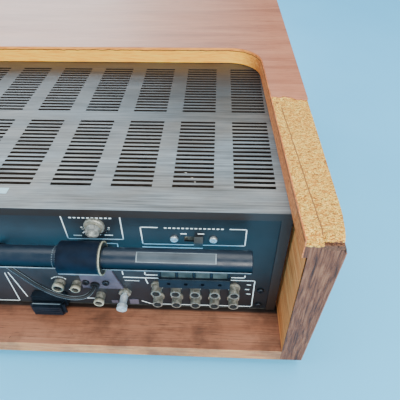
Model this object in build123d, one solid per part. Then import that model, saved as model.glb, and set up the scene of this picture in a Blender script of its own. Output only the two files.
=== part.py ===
from build123d import *
import math
import os

os.makedirs("parts", exist_ok=True)

# Stereo receiver in a wood sleeve cabinet. Millimetres, +Z up. The controls face -Y and the
# connector panel faces +Y. The origin is the middle of the whole object's footprint, on the
# surface that the feet stand on.

# ---- Driving dimensions -------------------------------------------------------------------
CABINET_W = 506.0
CABINET_D = 450.0
CABINET_H = 160.0
KNOB_REACH = 10.0
FOOT_H = 10.0
FOOT_R = 14.0
FOOT_POCKET = 5.0
FOOT_POCKET_R = 4.5
FOOT_SCREW_R = 2.0
BOLT_HOLE_R = 2.6
BOLT_HEAD_R = 5.0
BASE_T = 14.0
SIDE_T = 23.0
SIDE_LEAN = 5.0
VENEER_T = 0.6
BODY_W = 455.0
BODY_H = 119.0
REAR_OVERHANG = 37.5
SHEET_T = 1.0
PANEL_T = 1.3
PAN_T = 1.2
PAN_WALL_H = 30.0
GAP = 0.1
SHAFT_PLAY = 0.05

# ---- Planes worked out from them ----------------------------------------------------------
CABINET_REAR = (CABINET_D + KNOB_REACH) / 2
CABINET_FRONT = CABINET_REAR - CABINET_D
KNOB_TIP = CABINET_FRONT - KNOB_REACH
BASE_TOP = FOOT_H + BASE_T
BODY_TOP = BASE_TOP + BODY_H
HALF_W = CABINET_W / 2
HALF_IN = HALF_W - SIDE_T
HALF_BODY = BODY_W / 2
TOP_UNDER = BODY_TOP + 0.4
BOARD_TOP = CABINET_H - VENEER_T
REAR_Y = CABINET_REAR - REAR_OVERHANG
PANEL_Y = REAR_Y - SHEET_T - GAP
PANEL_BACK = PANEL_Y - PANEL_T
FACE_Y = CABINET_FRONT + 14.0
FACE_T = 4.0
FACE_BACK = FACE_Y + FACE_T

# ---- Cut-out in the cabinet's top ---------------------------------------------------------
CUT_FRONT_Y = -43.0
CUT_HALF_FRONT = 218.0
CUT_HALF_REAR = 227.2
CUT_RADIUS = 34.0
BAND_T = 0.6
CHIP_FRONT_Y = 64.0

# ---- Louvre slots of the cover ------------------------------------------------------------
BLOCKS = 10
BLOCK_PITCH = 45.0
SLOT_LENGTH = 30.3
SLOT_WIDTH = 2.9
SLOT_PITCH = 5.36
SLOTS_PER_BLOCK = 17
FIRST_SLOT = 26.5
ROW_GAP = 19.3

# ---- Cover flanges ------------------------------------------------------------------------
LIP_H = 7.0
RETURN_W = 7.6

# ---- Bar antenna --------------------------------------------------------------------------
BAR_R = 7.9
BAR_Y = 213.5
BAR_Z = 117.0
BAR_ENDS = (-200.0, 46.0)
SLEEVE_R = 11.7
SLEEVE_ENDS = (-96.3, -68.2)
RING_T = 1.6
PIVOT_Y = 203.5
PIVOT_Z = 98.0
PIVOT_R = 1.6
PIN_ENDS = (-94.0, -68.2)
PIN_HEAD_R = 2.6
EAR_T = 3.0
EAR_STARTS = (-93.0, -72.3)
EAR_HALF = 4.0
BRACKET_T = 1.5
BRACKET_FOOT = (-98.5, -64.2)
BRACKET_NECK = (-92.5, -69.3)
BRACKET_BOTTOM = 50.5
BRACKET_SHOULDER = 72.0
BRACKET_SCREWS = ((-68.2, 59.0), (-85.0, 59.0))

# ---- Rear controls and connectors ---------------------------------------------------------
SCREW_HEAD_R = 3.0
SCREW_HEAD_T = 1.8
SCREW_HOLE_R = 1.6
JACK_R = 4.15
JACK_BORE_SHARE = 0.72
JACK_PIN_R = 1.65
JACK_REACH = 9.0
JACK_RECESS_DEPTH = 2.0
JACK_COLUMNS = [-190.9 + 15.9 * column for column in range(5)]
JACK_ROWS = (40.2, 55.6)
JACK_FLANGE_R = 5.2
# Single jacks: x, z, barrel radius and reach.
SINGLE_JACKS = (
    (-45.1, 55.5, 4.7, 6.5),
    (-59.7, 55.1, 3.9, 7.0),
    (-77.0, 39.3, 4.15, 9.0),
)
MUTING_X = -88.0
MUTING_Z = 126.4
MUTING_SHAFT_R = 3.0
MUTING_REACH = 8.0
MUTING_COLLAR_R = 7.5
MUTING_NECK_R = 5.2
MUTING_CUP_R = 4.9
ATTENUATOR_X = -158.9
ATTENUATOR_Z = 114.0
ATTENUATOR_SCREW_X = 14.3
ATTENUATOR_SCREW_Z = 114.4
SWITCH_SLOT = (14.0, 5.4)
SLIDER_W = 6.4
SLIDER_REACH = 6.0
TERMINAL_ENDS = (-187.0, -130.5)
TERMINAL_BOTTOM = 63.6
TERMINAL_SHELF = 74.4
TERMINAL_TOP = 84.6
TERMINAL_REACH = 8.0
LEVER_COLUMNS = [-179.0 + 13.55 * column for column in range(4)]
LEVER_W = 11.0
LEVER_T = 2.2
LEVER_BAND = (TERMINAL_SHELF + 0.3, TERMINAL_TOP - 0.8)
LEVER_TRAVEL = 2.5
GROUND_X = -99.0
GROUND_Z = 45.0
GROUND_THREAD_R = 2.0

# ---- Antenna lead: its route by hand, from the panel grommet to the bracket grommet --------
LEAD_R = 1.8
GROMMET_R = 3.8
GROMMET_T = 2.0
LEAD_ROUTE = [
    (-10, PANEL_Y + GROMMET_T, 100),
    (-11, 199.5, 99.7),
    (-15.5, 203.8, 97),
    (-22, 205.5, 91),
    (-29, 206.3, 82),
    (-36.5, 206.7, 71.5),
    (-47, 206.8, 61.5),
    (-58.5, 206.2, 55.2),
    (-69, 204.8, 54.3),
    (-74.2, 200.5, 55.2),
    (-75.5, PANEL_Y + BRACKET_T + GROMMET_T, 56),
]

# ---- Front controls: x, z, knob radius ----------------------------------------------------
SHAFT_R = 3.0
KNOBS = {
    "volume_knob": (0.0, 56.0, 15.0),
    "bass_knob": (-120.0, 56.0, 10.0),
    "treble_knob": (-72.0, 56.0, 10.0),
    "selector_knob": (120.0, 56.0, 12.0),
}
BUTTONS = {
    "power_button": (-200.0, 56.0),
    "loudness_button": (46.0, 56.0),
}
BUTTON_R = 5.0
TUNING_X = 192.0
TUNING_Z = 108.0
TUNING_R = 19.0
PHONE_X = -165.0
PHONE_Z = 56.0
PHONE_R = 3.25
PHONE_BARREL_R = 6.0
FLYWHEEL_R = 22.0
WINDOW_HALF = 150.0
WINDOW_BAND = (90.0, 130.0)
METER_X = -190.0
METER_Z = 109.0
METER_W = 40.0
METER_H = 30.0
METER_WALL = 1.5
NEEDLE_Z = 100.0
NEEDLE_LENGTH = 18.0
NEEDLE_LEAN = 40.0
NEEDLE_HUB_R = 1.0

# ---- Connectors at the +X end of the rear panel -------------------------------------------
SPEAKER_ENDS = (40.0, 124.0)
SPEAKER_BAND = (58.0, 82.0)
SPEAKER_SCREWS = 8
OUTLET_ENDS = (134.0, 196.0)
OUTLET_BAND = (36.0, 60.0)
OUTLET_SPACING = 31.0
BLADE_SPACING = 12.7
FUSE_X = 205.0
FUSE_Z = 88.0
GLAND_Z = 68.0
GLAND_BORE_R = 3.0

# ---- Inside pieces ------------------------------------------------------------------------
CORE_X = (120.0, 200.0)
CORE_Y = (-110.0, -66.0)
CORE_H = 66.0
CORE_LIMB = 13.0
CORE_WINDOWS = (133.0, 173.0)
CORE_WINDOW_W = 14.0
COIL_BULGE = 14.0
CAPACITOR_PLACES = ((140.0, 10.0), (184.0, 10.0))
CAPACITOR_R = 17.5
CAPACITOR_H = 72.0
SINK_X = (40.0, 180.0)
SINK_Y = 120.0
SINK_T = 6.0
SINK_DEPTH = 30.0
SINK_H = 62.0
SINK_FINS = 14
BOARD_T = 1.6
TUNER_X = (-210.0, -60.0)
TUNER_Y = (-60.0, 60.0)
TUNER_Z = 42.0
CAN_H = 17.4

# ---- Tuning capacitor ---------------------------------------------------------------------
GANG_X = -20.0
GANG_Y = (-90.0, -30.0)
GANG_Z = 60.0
GANG_PLATE_R = 16.0
GANG_DRUM_R = 20.0
GANG_PLATES = 5
GANG_FIRST = 12.0
GANG_PITCH = 7.0


def block(x, y, z):
    """A box from three (low, high) pairs."""
    size = [high - low for low, high in (x, y, z)]
    middle = [(low + high) / 2 for low, high in (x, y, z)]
    return Pos(*middle) * Box(*size)


def rod_x(x, y, z, radius):
    """A round bar along X, where x is its (low, high) pair."""
    return Pos((x[0] + x[1]) / 2, y, z) * Rot(0, 90, 0) * Cylinder(radius, x[1] - x[0])


def rod_y(x, y, z, radius):
    """A round bar along Y, where y is its (low, high) pair."""
    return Pos(x, (y[0] + y[1]) / 2, z) * Rot(90, 0, 0) * Cylinder(radius, y[1] - y[0])


def rod_z(x, y, z, radius):
    """A round bar along Z, where z is its (low, high) pair."""
    return Pos(x, y, (z[0] + z[1]) / 2) * Cylinder(radius, z[1] - z[0])


def group(solids):
    """Separate solids that share one node."""
    return Compound(children=list(solids))


# ---- Wood cabinet -------------------------------------------------------------------------
def cutout(inset, low, high):
    """The top's cut-out as a solid: open to the rear, round front corners, slightly tapered."""
    past_rear = CABINET_REAR + 1
    corners = [
        (-CUT_HALF_REAR + inset, past_rear),
        (-CUT_HALF_FRONT + inset, CUT_FRONT_Y + inset),
        (CUT_HALF_FRONT - inset, CUT_FRONT_Y + inset),
        (CUT_HALF_REAR - inset, past_rear),
    ]
    outline = make_face(Polyline(*corners, close=True))
    front = [v for v in outline.vertices() if v.Y < CUT_FRONT_Y + inset + 1]
    outline = fillet(front, CUT_RADIUS - inset)
    return Pos(0, 0, low) * extrude(outline, amount=high - low)


def depth_prism(section):
    """A bar along the cabinet's whole depth, from the (x, z) points of its outline."""
    corners = [(x, CABINET_REAR, z) for x, z in section]
    outline = make_face(Polyline(*corners, close=True))
    return extrude(outline, amount=CABINET_D, dir=(0, -1, 0))


def cabinet_side(sign):
    """A board whose outer face leans out towards the top."""
    top = HALF_W - VENEER_T
    foot = top - SIDE_LEAN
    section = [(HALF_IN, FOOT_H), (foot, FOOT_H), (top, BOARD_TOP), (HALF_IN, BOARD_TOP)]
    return depth_prism([(sign * x, z) for x, z in section])


def cabinet_top():
    board = block(
        (-HALF_IN, HALF_IN), (CABINET_FRONT, CABINET_REAR), (TOP_UNDER, BOARD_TOP)
    )
    return board - cutout(0, TOP_UNDER - 1, BOARD_TOP + 1)


def fastener_places():
    """Where the bolts hold the chassis down to the bottom board."""
    return [(x, y) for x in (-190, 190) for y in (-150, 140)]


def foot_places():
    return [(x, y) for x in (-222, 222) for y in (-192, 202)]


def cabinet_bottom():
    board = block(
        (-HALF_IN, HALF_IN), (CABINET_FRONT, CABINET_REAR), (FOOT_H, BASE_TOP)
    )
    for x, y in fastener_places():
        board -= rod_z(x, y, (FOOT_H - 1, BASE_TOP + 1), BOLT_HOLE_R)
    for x, y in foot_places():
        board -= rod_z(x, y, (FOOT_H - 1, FOOT_H + 9), FOOT_SCREW_R + GAP)
    return board


def top_veneer():
    """The veneer has come away from the rear half of the arm on the -X side."""
    skin = block(
        (-HALF_W, HALF_W), (CABINET_FRONT, CABINET_REAR), (BOARD_TOP, CABINET_H)
    )
    skin -= cutout(0, BOARD_TOP - 1, CABINET_H + 1)
    chip = [
        (-HALF_W - 1, CHIP_FRONT_Y + 4),
        (-241, CHIP_FRONT_Y + 3),
        (-233, CHIP_FRONT_Y - 1),
        (-210, CHIP_FRONT_Y),
        (-210, CABINET_REAR + 1),
        (-HALF_W - 1, CABINET_REAR + 1),
    ]
    missing = extrude(make_face(Polyline(*chip, close=True)), amount=3)
    return skin - Pos(0, 0, BOARD_TOP - 1) * missing


def side_veneers():
    """One skin on the leaning outside of each side board."""
    skins = []
    foot = HALF_W - SIDE_LEAN
    section = [
        (foot - VENEER_T, FOOT_H),
        (foot, FOOT_H),
        (HALF_W, BOARD_TOP),
        (HALF_W - VENEER_T, BOARD_TOP),
    ]
    for sign in (-1, 1):
        skins.append(depth_prism([(sign * x, z) for x, z in section]))
    return group(skins)


def cutout_edge_band():
    """A thin strip glued round the cut-out's edge."""
    band = cutout(0, TOP_UNDER, BOARD_TOP) - cutout(BAND_T, TOP_UNDER, BOARD_TOP)
    return band - block(
        (-HALF_W, HALF_W), (CABINET_REAR, CABINET_REAR + 5), (0, CABINET_H)
    )


def feet():
    """Four rubber feet, each with a screw pocket in its underside."""
    solids = []
    for x, y in foot_places():
        foot = Pos(x, y, FOOT_H / 2) * Rot(180, 0, 0) * Cone(FOOT_R, FOOT_R - 1.5, FOOT_H)
        foot -= rod_z(x, y, (-1, FOOT_POCKET), FOOT_POCKET_R)
        foot -= rod_z(x, y, (0, FOOT_H + 1), FOOT_SCREW_R + GAP)
        solids.append(foot)
    return group(solids)


def cabinet_fasteners():
    """The four slotted chassis bolts and the four foot screws."""
    solids = []
    seat = FOOT_H - 0.05
    for x, y in fastener_places():
        bolt = rod_z(x, y, (FOOT_H - 2.5, seat), BOLT_HEAD_R)
        bolt += rod_z(x, y, (seat, BASE_TOP + 6), BOLT_HOLE_R - GAP)
        slot_x = (x - BOLT_HEAD_R + 1, x + BOLT_HEAD_R - 1)
        bolt -= block(slot_x, (y - 0.6, y + 0.6), (FOOT_H - 3, FOOT_H - 1.5))
        solids.append(bolt)
    seat = FOOT_POCKET - 0.05
    for x, y in foot_places():
        screw = rod_z(x, y, (seat / 2, seat), FOOT_POCKET_R - 0.9)
        screw += rod_z(x, y, (seat, FOOT_H + 8), FOOT_SCREW_R)
        solids.append(screw)
    return group(solids)


# ---- Receiver casing ----------------------------------------------------------------------
def slot_cutter():
    """Two rows of slot blocks, each slot long in X and cut right through the cover's top."""
    slots = []
    for row in range(2):
        row_start = FIRST_SLOT + row * ((SLOTS_PER_BLOCK - 1) * SLOT_PITCH + ROW_GAP)
        for column in range(BLOCKS):
            x = (column - (BLOCKS - 1) / 2) * BLOCK_PITCH
            for index in range(SLOTS_PER_BLOCK):
                y = REAR_Y - row_start - index * SLOT_PITCH
                slots.append(Pos(x, y, BODY_TOP) * Box(SLOT_LENGTH, SLOT_WIDTH, 4))
    return slots


def top_cover():
    """A sheet bent down both sides, with a lip along the rear edge and a return on each side."""
    front = FACE_BACK + GAP
    inner = HALF_BODY - SHEET_T
    side_bottom = BASE_TOP + 0.6
    top = block((-HALF_BODY, HALF_BODY), (front, REAR_Y), (BODY_TOP - SHEET_T, BODY_TOP))
    lip = block(
        (-inner, inner),
        (REAR_Y - SHEET_T, REAR_Y),
        (BODY_TOP - LIP_H, BODY_TOP - SHEET_T),
    )
    cover = top - slot_cutter() + lip
    for sign in (-1, 1):
        wall = sorted((sign * inner, sign * HALF_BODY))
        edge = sorted((sign * (HALF_BODY - RETURN_W), sign * inner))
        cover += block(wall, (front, REAR_Y), (side_bottom, BODY_TOP - SHEET_T))
        cover += block(
            edge, (REAR_Y - SHEET_T, REAR_Y), (side_bottom, BODY_TOP - LIP_H)
        )
    return cover


def chassis_pan():
    """A folded tray: bottom and two low side walls."""
    half = HALF_BODY - SHEET_T - 2 * GAP
    front = FACE_BACK + GAP
    floor = (BASE_TOP + GAP, BASE_TOP + GAP + PAN_T)
    pan = block((-half, half), (front, PANEL_Y), floor)
    for sign in (-1, 1):
        wall = sorted((sign * half, sign * (half - PAN_T)))
        wall_z = (floor[1], floor[1] + PAN_WALL_H)
        pan += block(wall, (front, PANEL_BACK - GAP), wall_z)
    for x, y in fastener_places():
        pan -= rod_z(x, y, (BASE_TOP - 1, BASE_TOP + 4), BOLT_HOLE_R)
    return pan


def panel_screw_places():
    """Where the rear panel is screwed to the chassis."""
    return [(x, z) for x in (-213, 213) for z in (31, 52)]


def attenuator_screw_places():
    left, right = ATTENUATOR_X - ATTENUATOR_SCREW_X, ATTENUATOR_X + ATTENUATOR_SCREW_X
    return [(left, ATTENUATOR_SCREW_Z), (right, ATTENUATOR_SCREW_Z)]


def jack_places():
    """Each jack's x, z, barrel radius and reach."""
    grid = [(x, z, JACK_R, JACK_REACH) for x in JACK_COLUMNS for z in JACK_ROWS]
    return grid + list(SINGLE_JACKS)


def lead_holes():
    return [(LEAD_ROUTE[0][0], LEAD_ROUTE[0][2]), (LEAD_ROUTE[-1][0], LEAD_ROUTE[-1][2])]


def rear_panel():
    half = HALF_BODY - SHEET_T - 2 * GAP
    low = BASE_TOP + PAN_T + 2 * GAP
    panel = block((-half, half), (PANEL_BACK, PANEL_Y), (low, BODY_TOP - SHEET_T - GAP))
    through = (PANEL_BACK - 1, PANEL_Y + 1)
    for x, z, radius, _ in jack_places():
        panel -= rod_y(x, through, z, radius + SHAFT_PLAY)
    screws = panel_screw_places() + list(BRACKET_SCREWS) + attenuator_screw_places()
    for x, z in screws:
        panel -= rod_y(x, through, z, SCREW_HOLE_R)
    for x, z in lead_holes():
        panel -= rod_y(x, through, z, LEAD_R + SHAFT_PLAY)
    panel -= rod_y(MUTING_X, through, MUTING_Z, MUTING_NECK_R + GAP)
    panel -= rod_y(GROUND_X, through, GROUND_Z, GROUND_THREAD_R + 0.4)
    return panel - switch_slot(through)


def rear_screws():
    """Cross-head screws: four for the panel, two for the bracket, two for the switch."""
    solids = []
    bracket = [(x, z, PANEL_Y + BRACKET_T) for x, z in BRACKET_SCREWS]
    flat = panel_screw_places() + attenuator_screw_places()
    cross_long, cross_half = SCREW_HEAD_R * 0.55, 0.35
    for x, z, seat in bracket + [(x, z, PANEL_Y) for x, z in flat]:
        head = rod_y(x, (seat + 0.02, seat + SCREW_HEAD_T), z, SCREW_HEAD_R)
        head = fillet(head.edges().sort_by(Axis.Y)[-1], SCREW_HEAD_T / 2)
        screw = head + rod_y(x, (PANEL_BACK + GAP, seat + 0.02), z, SCREW_HOLE_R - GAP)
        for wide, tall in ((cross_long, cross_half), (cross_half, cross_long)):
            recess = (seat + SCREW_HEAD_T - 0.8, seat + SCREW_HEAD_T + 1)
            screw -= block((x - wide, x + wide), recess, (z - tall, z + tall))
        solids.append(screw)
    return group(solids)


# ---- Rear connectors and controls ---------------------------------------------------------
def phono_jacks():
    """Metal barrels with a recessed face and a hole for the plug's pin.

    The jacks of the block have a round flange on the panel, and the single ones have none.
    """
    solids = []
    for x, z, radius, reach in jack_places():
        face = PANEL_Y + reach
        jack = rod_y(x, (PANEL_BACK - 3, face), z, radius)
        if x in JACK_COLUMNS:
            jack += rod_y(x, (PANEL_Y + 0.05, PANEL_Y + 1.3), z, JACK_FLANGE_R)
        recess = (face - JACK_RECESS_DEPTH, face + 1)
        jack -= rod_y(x, recess, z, radius * JACK_BORE_SHARE)
        jack -= rod_y(x, (PANEL_BACK, face), z, JACK_PIN_R)
        solids.append(jack)
    return group(solids)


def muting_pot():
    """Stepped bushing through the panel and the potentiometer's can behind it."""
    collar = rod_y(MUTING_X, (PANEL_Y + 0.05, PANEL_Y + 2.6), MUTING_Z, MUTING_COLLAR_R)
    pot = fillet(collar.edges().sort_by(Axis.Y)[-1], 1.2)
    pot += rod_y(MUTING_X, (PANEL_BACK - 0.2, PANEL_Y + 3.4), MUTING_Z, MUTING_NECK_R)
    pot += rod_y(MUTING_X, (PANEL_BACK - 12, PANEL_BACK - 0.2), MUTING_Z, 9)
    bore = (PANEL_BACK - 8, PANEL_Y + 6)
    return pot - rod_y(MUTING_X, bore, MUTING_Z, MUTING_SHAFT_R + SHAFT_PLAY)


def muting_shaft():
    """Trimmer shaft with a cup-shaped, slotted end."""
    tip = PANEL_Y + MUTING_REACH
    cup_start = PANEL_Y + 3.8
    shaft = rod_y(MUTING_X, (PANEL_BACK - 7, cup_start), MUTING_Z, MUTING_SHAFT_R)
    shaft += rod_y(MUTING_X, (cup_start, tip), MUTING_Z, MUTING_CUP_R)
    shaft -= rod_y(MUTING_X, (tip - 2.6, tip + 1), MUTING_Z, MUTING_CUP_R - 1.6)
    slot_z = (MUTING_Z - 0.6, MUTING_Z + 0.6)
    slot_x = (MUTING_X - MUTING_CUP_R - 1, MUTING_X + MUTING_CUP_R + 1)
    return shaft - block(slot_x, (tip - 1.2, tip + 1), slot_z)


def switch_slot(depth):
    """The slot that the attenuator's slider runs in, over that (low, high) depth."""
    half_x, half_z = SWITCH_SLOT[0] / 2, SWITCH_SLOT[1] / 2
    x = (ATTENUATOR_X - half_x, ATTENUATOR_X + half_x)
    return block(x, depth, (ATTENUATOR_Z - half_z, ATTENUATOR_Z + half_z))


def attenuator_switch():
    """Slide switch behind the panel, with a pocket for its slider."""
    x = (ATTENUATOR_X - 20, ATTENUATOR_X + 20)
    z = (ATTENUATOR_Z - 7, ATTENUATOR_Z + 7)
    pocket = (PANEL_BACK - 5, PANEL_BACK + 1)
    switch = block(x, (PANEL_BACK - 8, PANEL_BACK - GAP), z) - switch_slot(pocket)
    for screw_x, screw_z in attenuator_screw_places():
        switch -= rod_y(screw_x, pocket, screw_z, SCREW_HOLE_R)
    return switch


def attenuator_slider():
    """Ribbed slider, at rest against the slot's -X end."""
    low = ATTENUATOR_X - SWITCH_SLOT[0] / 2 + 0.2
    tip = PANEL_Y + SLIDER_REACH
    z = (ATTENUATOR_Z - 2.5, ATTENUATOR_Z + 2.5)
    slider = block((low, low + SLIDER_W), (PANEL_BACK - 4.7, tip), z)
    ribs = 5
    for rib in range(ribs - 1):
        groove = low + (rib + 1) * SLIDER_W / ribs
        slider -= block((groove - 0.3, groove + 0.3), (tip - 0.7, tip + 1), z)
    return slider


def terminal_block():
    """Wire terminals: a shelf with a wire hole under each lever, and ribs between the levers."""
    face = PANEL_Y + TERMINAL_REACH
    shelf = (TERMINAL_BOTTOM, TERMINAL_SHELF)
    body = block(TERMINAL_ENDS, (PANEL_Y + 0.05, face), shelf)
    upper = (TERMINAL_SHELF, TERMINAL_TOP)
    body += block(TERMINAL_ENDS, (PANEL_Y + 0.05, PANEL_Y + 1.2), upper)
    rib_reach = (PANEL_Y + 0.05, PANEL_Y + 6.0)
    pitch = LEVER_COLUMNS[1] - LEVER_COLUMNS[0]
    for rib in range(len(LEVER_COLUMNS) + 1):
        middle = LEVER_COLUMNS[0] + (rib - 0.5) * pitch
        half = (pitch - LEVER_W) / 2 - 0.4
        body += block((middle - half, middle + half), rib_reach, upper)
    for x in LEVER_COLUMNS:
        body -= rod_y(x, (PANEL_Y + 2, face + 1), TERMINAL_BOTTOM + 5.2, 1.6)
    return body


def antenna_lever(column):
    """A push lever with a chamfered finger tab."""
    x = LEVER_COLUMNS[column]
    back = PANEL_Y + 1.2 + LEVER_TRAVEL + 0.4
    y = (back, back + LEVER_T)
    lever = block((x - LEVER_W / 2, x + LEVER_W / 2), y, LEVER_BAND)
    edges = lever.edges().filter_by(Axis.X).sort_by(Axis.Y)[-2:]
    return chamfer(edges, 0.6)


def ground_post():
    """Hexagonal boss with the ground screw's hole."""
    boss = extrude(RegularPolygon(5.4, 6), amount=2.6)
    boss = Pos(GROUND_X, PANEL_Y + 2.65, GROUND_Z) * Rot(90, 0, 0) * boss
    hole = (PANEL_Y - 1, PANEL_Y + 4)
    return boss - rod_y(GROUND_X, hole, GROUND_Z, GROUND_THREAD_R + SHAFT_PLAY)


def ground_screw():
    """Long thumb screw with a slotted head."""
    screw = rod_y(GROUND_X, (PANEL_BACK - 4, PANEL_Y + 5), GROUND_Z, GROUND_THREAD_R)
    screw += rod_y(GROUND_X, (PANEL_Y + 5, PANEL_Y + 14), GROUND_Z, 3.1)
    screw += rod_y(GROUND_X, (PANEL_Y + 14, PANEL_Y + 17.5), GROUND_Z, 4.3)
    slot = (PANEL_Y + 16.3, PANEL_Y + 18)
    slot_z = (GROUND_Z - 0.55, GROUND_Z + 0.55)
    return screw - block((GROUND_X - 6, GROUND_X + 6), slot, slot_z)


def link_socket():
    """Black multi-pin link plug that stands out over the bottom board."""
    body = block((-49, -18), (PANEL_Y + 0.05, PANEL_Y + 15.6), (26.5, 43.5))
    body = fillet(body.edges().filter_by(Axis.Y), 2.0)
    body -= block((-50, -17), (PANEL_Y + 4, PANEL_Y + 9), (41.5, 44))
    return body


def lead_grommets():
    """One grommet on the panel and one on the bracket, each round the antenna lead."""
    solids = []
    for x, y, z in (LEAD_ROUTE[0], LEAD_ROUTE[-1]):
        ring = rod_y(x, (y - GROMMET_T + 0.05, y), z, GROMMET_R)
        solids.append(ring - rod_y(x, (y - 5, y + 5), z, LEAD_R + GAP))
    return group(solids)


def antenna_lead():
    """Straight runs joined by tangent arcs, each as large as its two runs allow."""
    route = [Vector(*point) for point in LEAD_ROUTE]
    radii = []
    for before, corner, after in zip(route, route[1:], route[2:]):
        arriving, leaving = corner - before, after - corner
        half_turn = math.radians(arriving.get_angle(leaving) / 2)
        shorter = min(arriving.length, leaving.length)
        radii.append(0.45 * shorter / math.tan(half_turn))
    path = FilletPolyline(*route, radius=radii)
    print("lead radii", [round(radius, 1) for radius in radii])
    start = Plane(origin=route[0], z_dir=path % 0)
    tube = sweep(start * Circle(LEAD_R), path=path)
    expected = math.pi * LEAD_R**2 * path.length
    print("lead length", round(path.length, 1), "volume ratio", tube.volume / expected)
    return tube


# ---- Bar antenna --------------------------------------------------------------------------
def antenna_bracket():
    """Plate on the panel, slanted on its -X edge, with two ears that carry the pivot pin."""
    outline = [
        (BRACKET_FOOT[0], BRACKET_BOTTOM),
        (BRACKET_FOOT[1], BRACKET_BOTTOM),
        (BRACKET_FOOT[1], BRACKET_SHOULDER),
        (BRACKET_NECK[0], BRACKET_SHOULDER),
    ]
    back = PANEL_Y + 0.02
    corners = [(x, back, z) for x, z in outline]
    plate = make_face(Polyline(*corners, close=True))
    bracket = extrude(plate, amount=BRACKET_T - 0.02, dir=(0, 1, 0))
    neck_z = (BRACKET_SHOULDER, PIVOT_Z + 6)
    bracket += block(BRACKET_NECK, (back, PANEL_Y + BRACKET_T), neck_z)
    for low in EAR_STARTS:
        x = (low, low + EAR_T)
        bracket += block(x, (back, PIVOT_Y), (PIVOT_Z - EAR_HALF, PIVOT_Z + EAR_HALF))
        bracket += rod_x(x, PIVOT_Y, PIVOT_Z, EAR_HALF)
    bracket -= rod_x((PIN_ENDS[0] - 1, PIN_ENDS[1] + 1), PIVOT_Y, PIVOT_Z, PIVOT_R)
    through = (PANEL_Y - 1, PANEL_Y + 3)
    for x, z in BRACKET_SCREWS:
        bracket -= rod_y(x, through, z, SCREW_HOLE_R)
    x, _, z = LEAD_ROUTE[-1]
    return bracket - rod_y(x, through, z, LEAD_R + SHAFT_PLAY)


def pivot_pin():
    """Pin with a head at one end, fixed in the bracket's ears."""
    pin = rod_x(PIN_ENDS, PIVOT_Y, PIVOT_Z, PIVOT_R)
    head = (PIN_ENDS[1] - 1.0, PIN_ENDS[1] + 0.3)
    return pin + rod_x(head, PIVOT_Y, PIVOT_Z, PIN_HEAD_R)


def antenna_sleeve():
    """Tube round the ferrite bar, with a knuckle that turns on the pivot pin."""
    sleeve = rod_x(SLEEVE_ENDS, BAR_Y, BAR_Z, SLEEVE_R)
    knuckle = (EAR_STARTS[0] + EAR_T + 0.3, EAR_STARTS[1] - 0.3)
    lug = rod_x(knuckle, PIVOT_Y, PIVOT_Z, EAR_HALF - 0.4)
    lean = math.degrees(math.atan2(BAR_Y - PIVOT_Y, BAR_Z - PIVOT_Z))
    reach = math.hypot(BAR_Y - PIVOT_Y, BAR_Z - PIVOT_Z) - SLEEVE_R + 2
    web = Pos(0, 0, reach / 2) * Box(knuckle[1] - knuckle[0], 5, reach)
    middle = (knuckle[0] + knuckle[1]) / 2
    lug += Pos(middle, PIVOT_Y, PIVOT_Z) * Rot(-lean, 0, 0) * web
    sleeve += lug
    through = (SLEEVE_ENDS[0] - 5, SLEEVE_ENDS[1] + 5)
    sleeve -= rod_x(through, BAR_Y, BAR_Z, BAR_R + SHAFT_PLAY)
    return sleeve - rod_x(through, PIVOT_Y, PIVOT_Z, PIVOT_R + SHAFT_PLAY)


def antenna_ring():
    """Retaining ring at the sleeve's -X end."""
    ends = (SLEEVE_ENDS[0] - RING_T, SLEEVE_ENDS[0] - 0.05)
    bore = (ends[0] - 1, ends[1] + 1)
    ring = rod_x(ends, BAR_Y, BAR_Z, SLEEVE_R + 0.3)
    return ring - rod_x(bore, BAR_Y, BAR_Z, BAR_R + SHAFT_PLAY)


def ferrite_bar():
    """Coil tube with the ferrite rod inside, closed at both ends."""
    bar = rod_x(BAR_ENDS, BAR_Y, BAR_Z, BAR_R)
    return fillet(bar.edges().filter_by(GeomType.CIRCLE), 0.8)


# ---- Connectors further along the rear panel ----------------------------------------------
def speaker_terminals():
    """Screw-terminal strip with barriers between the screws."""
    (left, right), z = SPEAKER_ENDS, SPEAKER_BAND
    base, barrier = PANEL_Y + 4, PANEL_Y + 7
    strip = block(SPEAKER_ENDS, (PANEL_Y + 0.05, base), z)
    barrier_half = 0.7
    pitch = (right - left - 2 * barrier_half) / SPEAKER_SCREWS
    for index in range(SPEAKER_SCREWS + 1):
        x = left + barrier_half + index * pitch
        strip += block((x - barrier_half, x + barrier_half), (base, barrier), z)
    for index in range(SPEAKER_SCREWS):
        x = left + barrier_half + (index + 0.5) * pitch
        strip += rod_y(x, (base, base + 2), sum(z) / 2, 3.2)
    return strip


def ac_outlets():
    """Two two-slot convenience outlets in one moulding."""
    body = block(OUTLET_ENDS, (PANEL_Y + 0.05, PANEL_Y + 4), OUTLET_BAND)
    body = fillet(body.edges().filter_by(Axis.Y), 3)
    middle_x, middle_z = sum(OUTLET_ENDS) / 2, sum(OUTLET_BAND) / 2
    for centre in (middle_x - OUTLET_SPACING / 2, middle_x + OUTLET_SPACING / 2):
        for x in (centre - BLADE_SPACING / 2, centre + BLADE_SPACING / 2):
            blade = (x - 0.9, x + 0.9)
            body -= block(blade, (PANEL_Y + 1, PANEL_Y + 5), (middle_z - 4, middle_z + 4))
    return body


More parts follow.
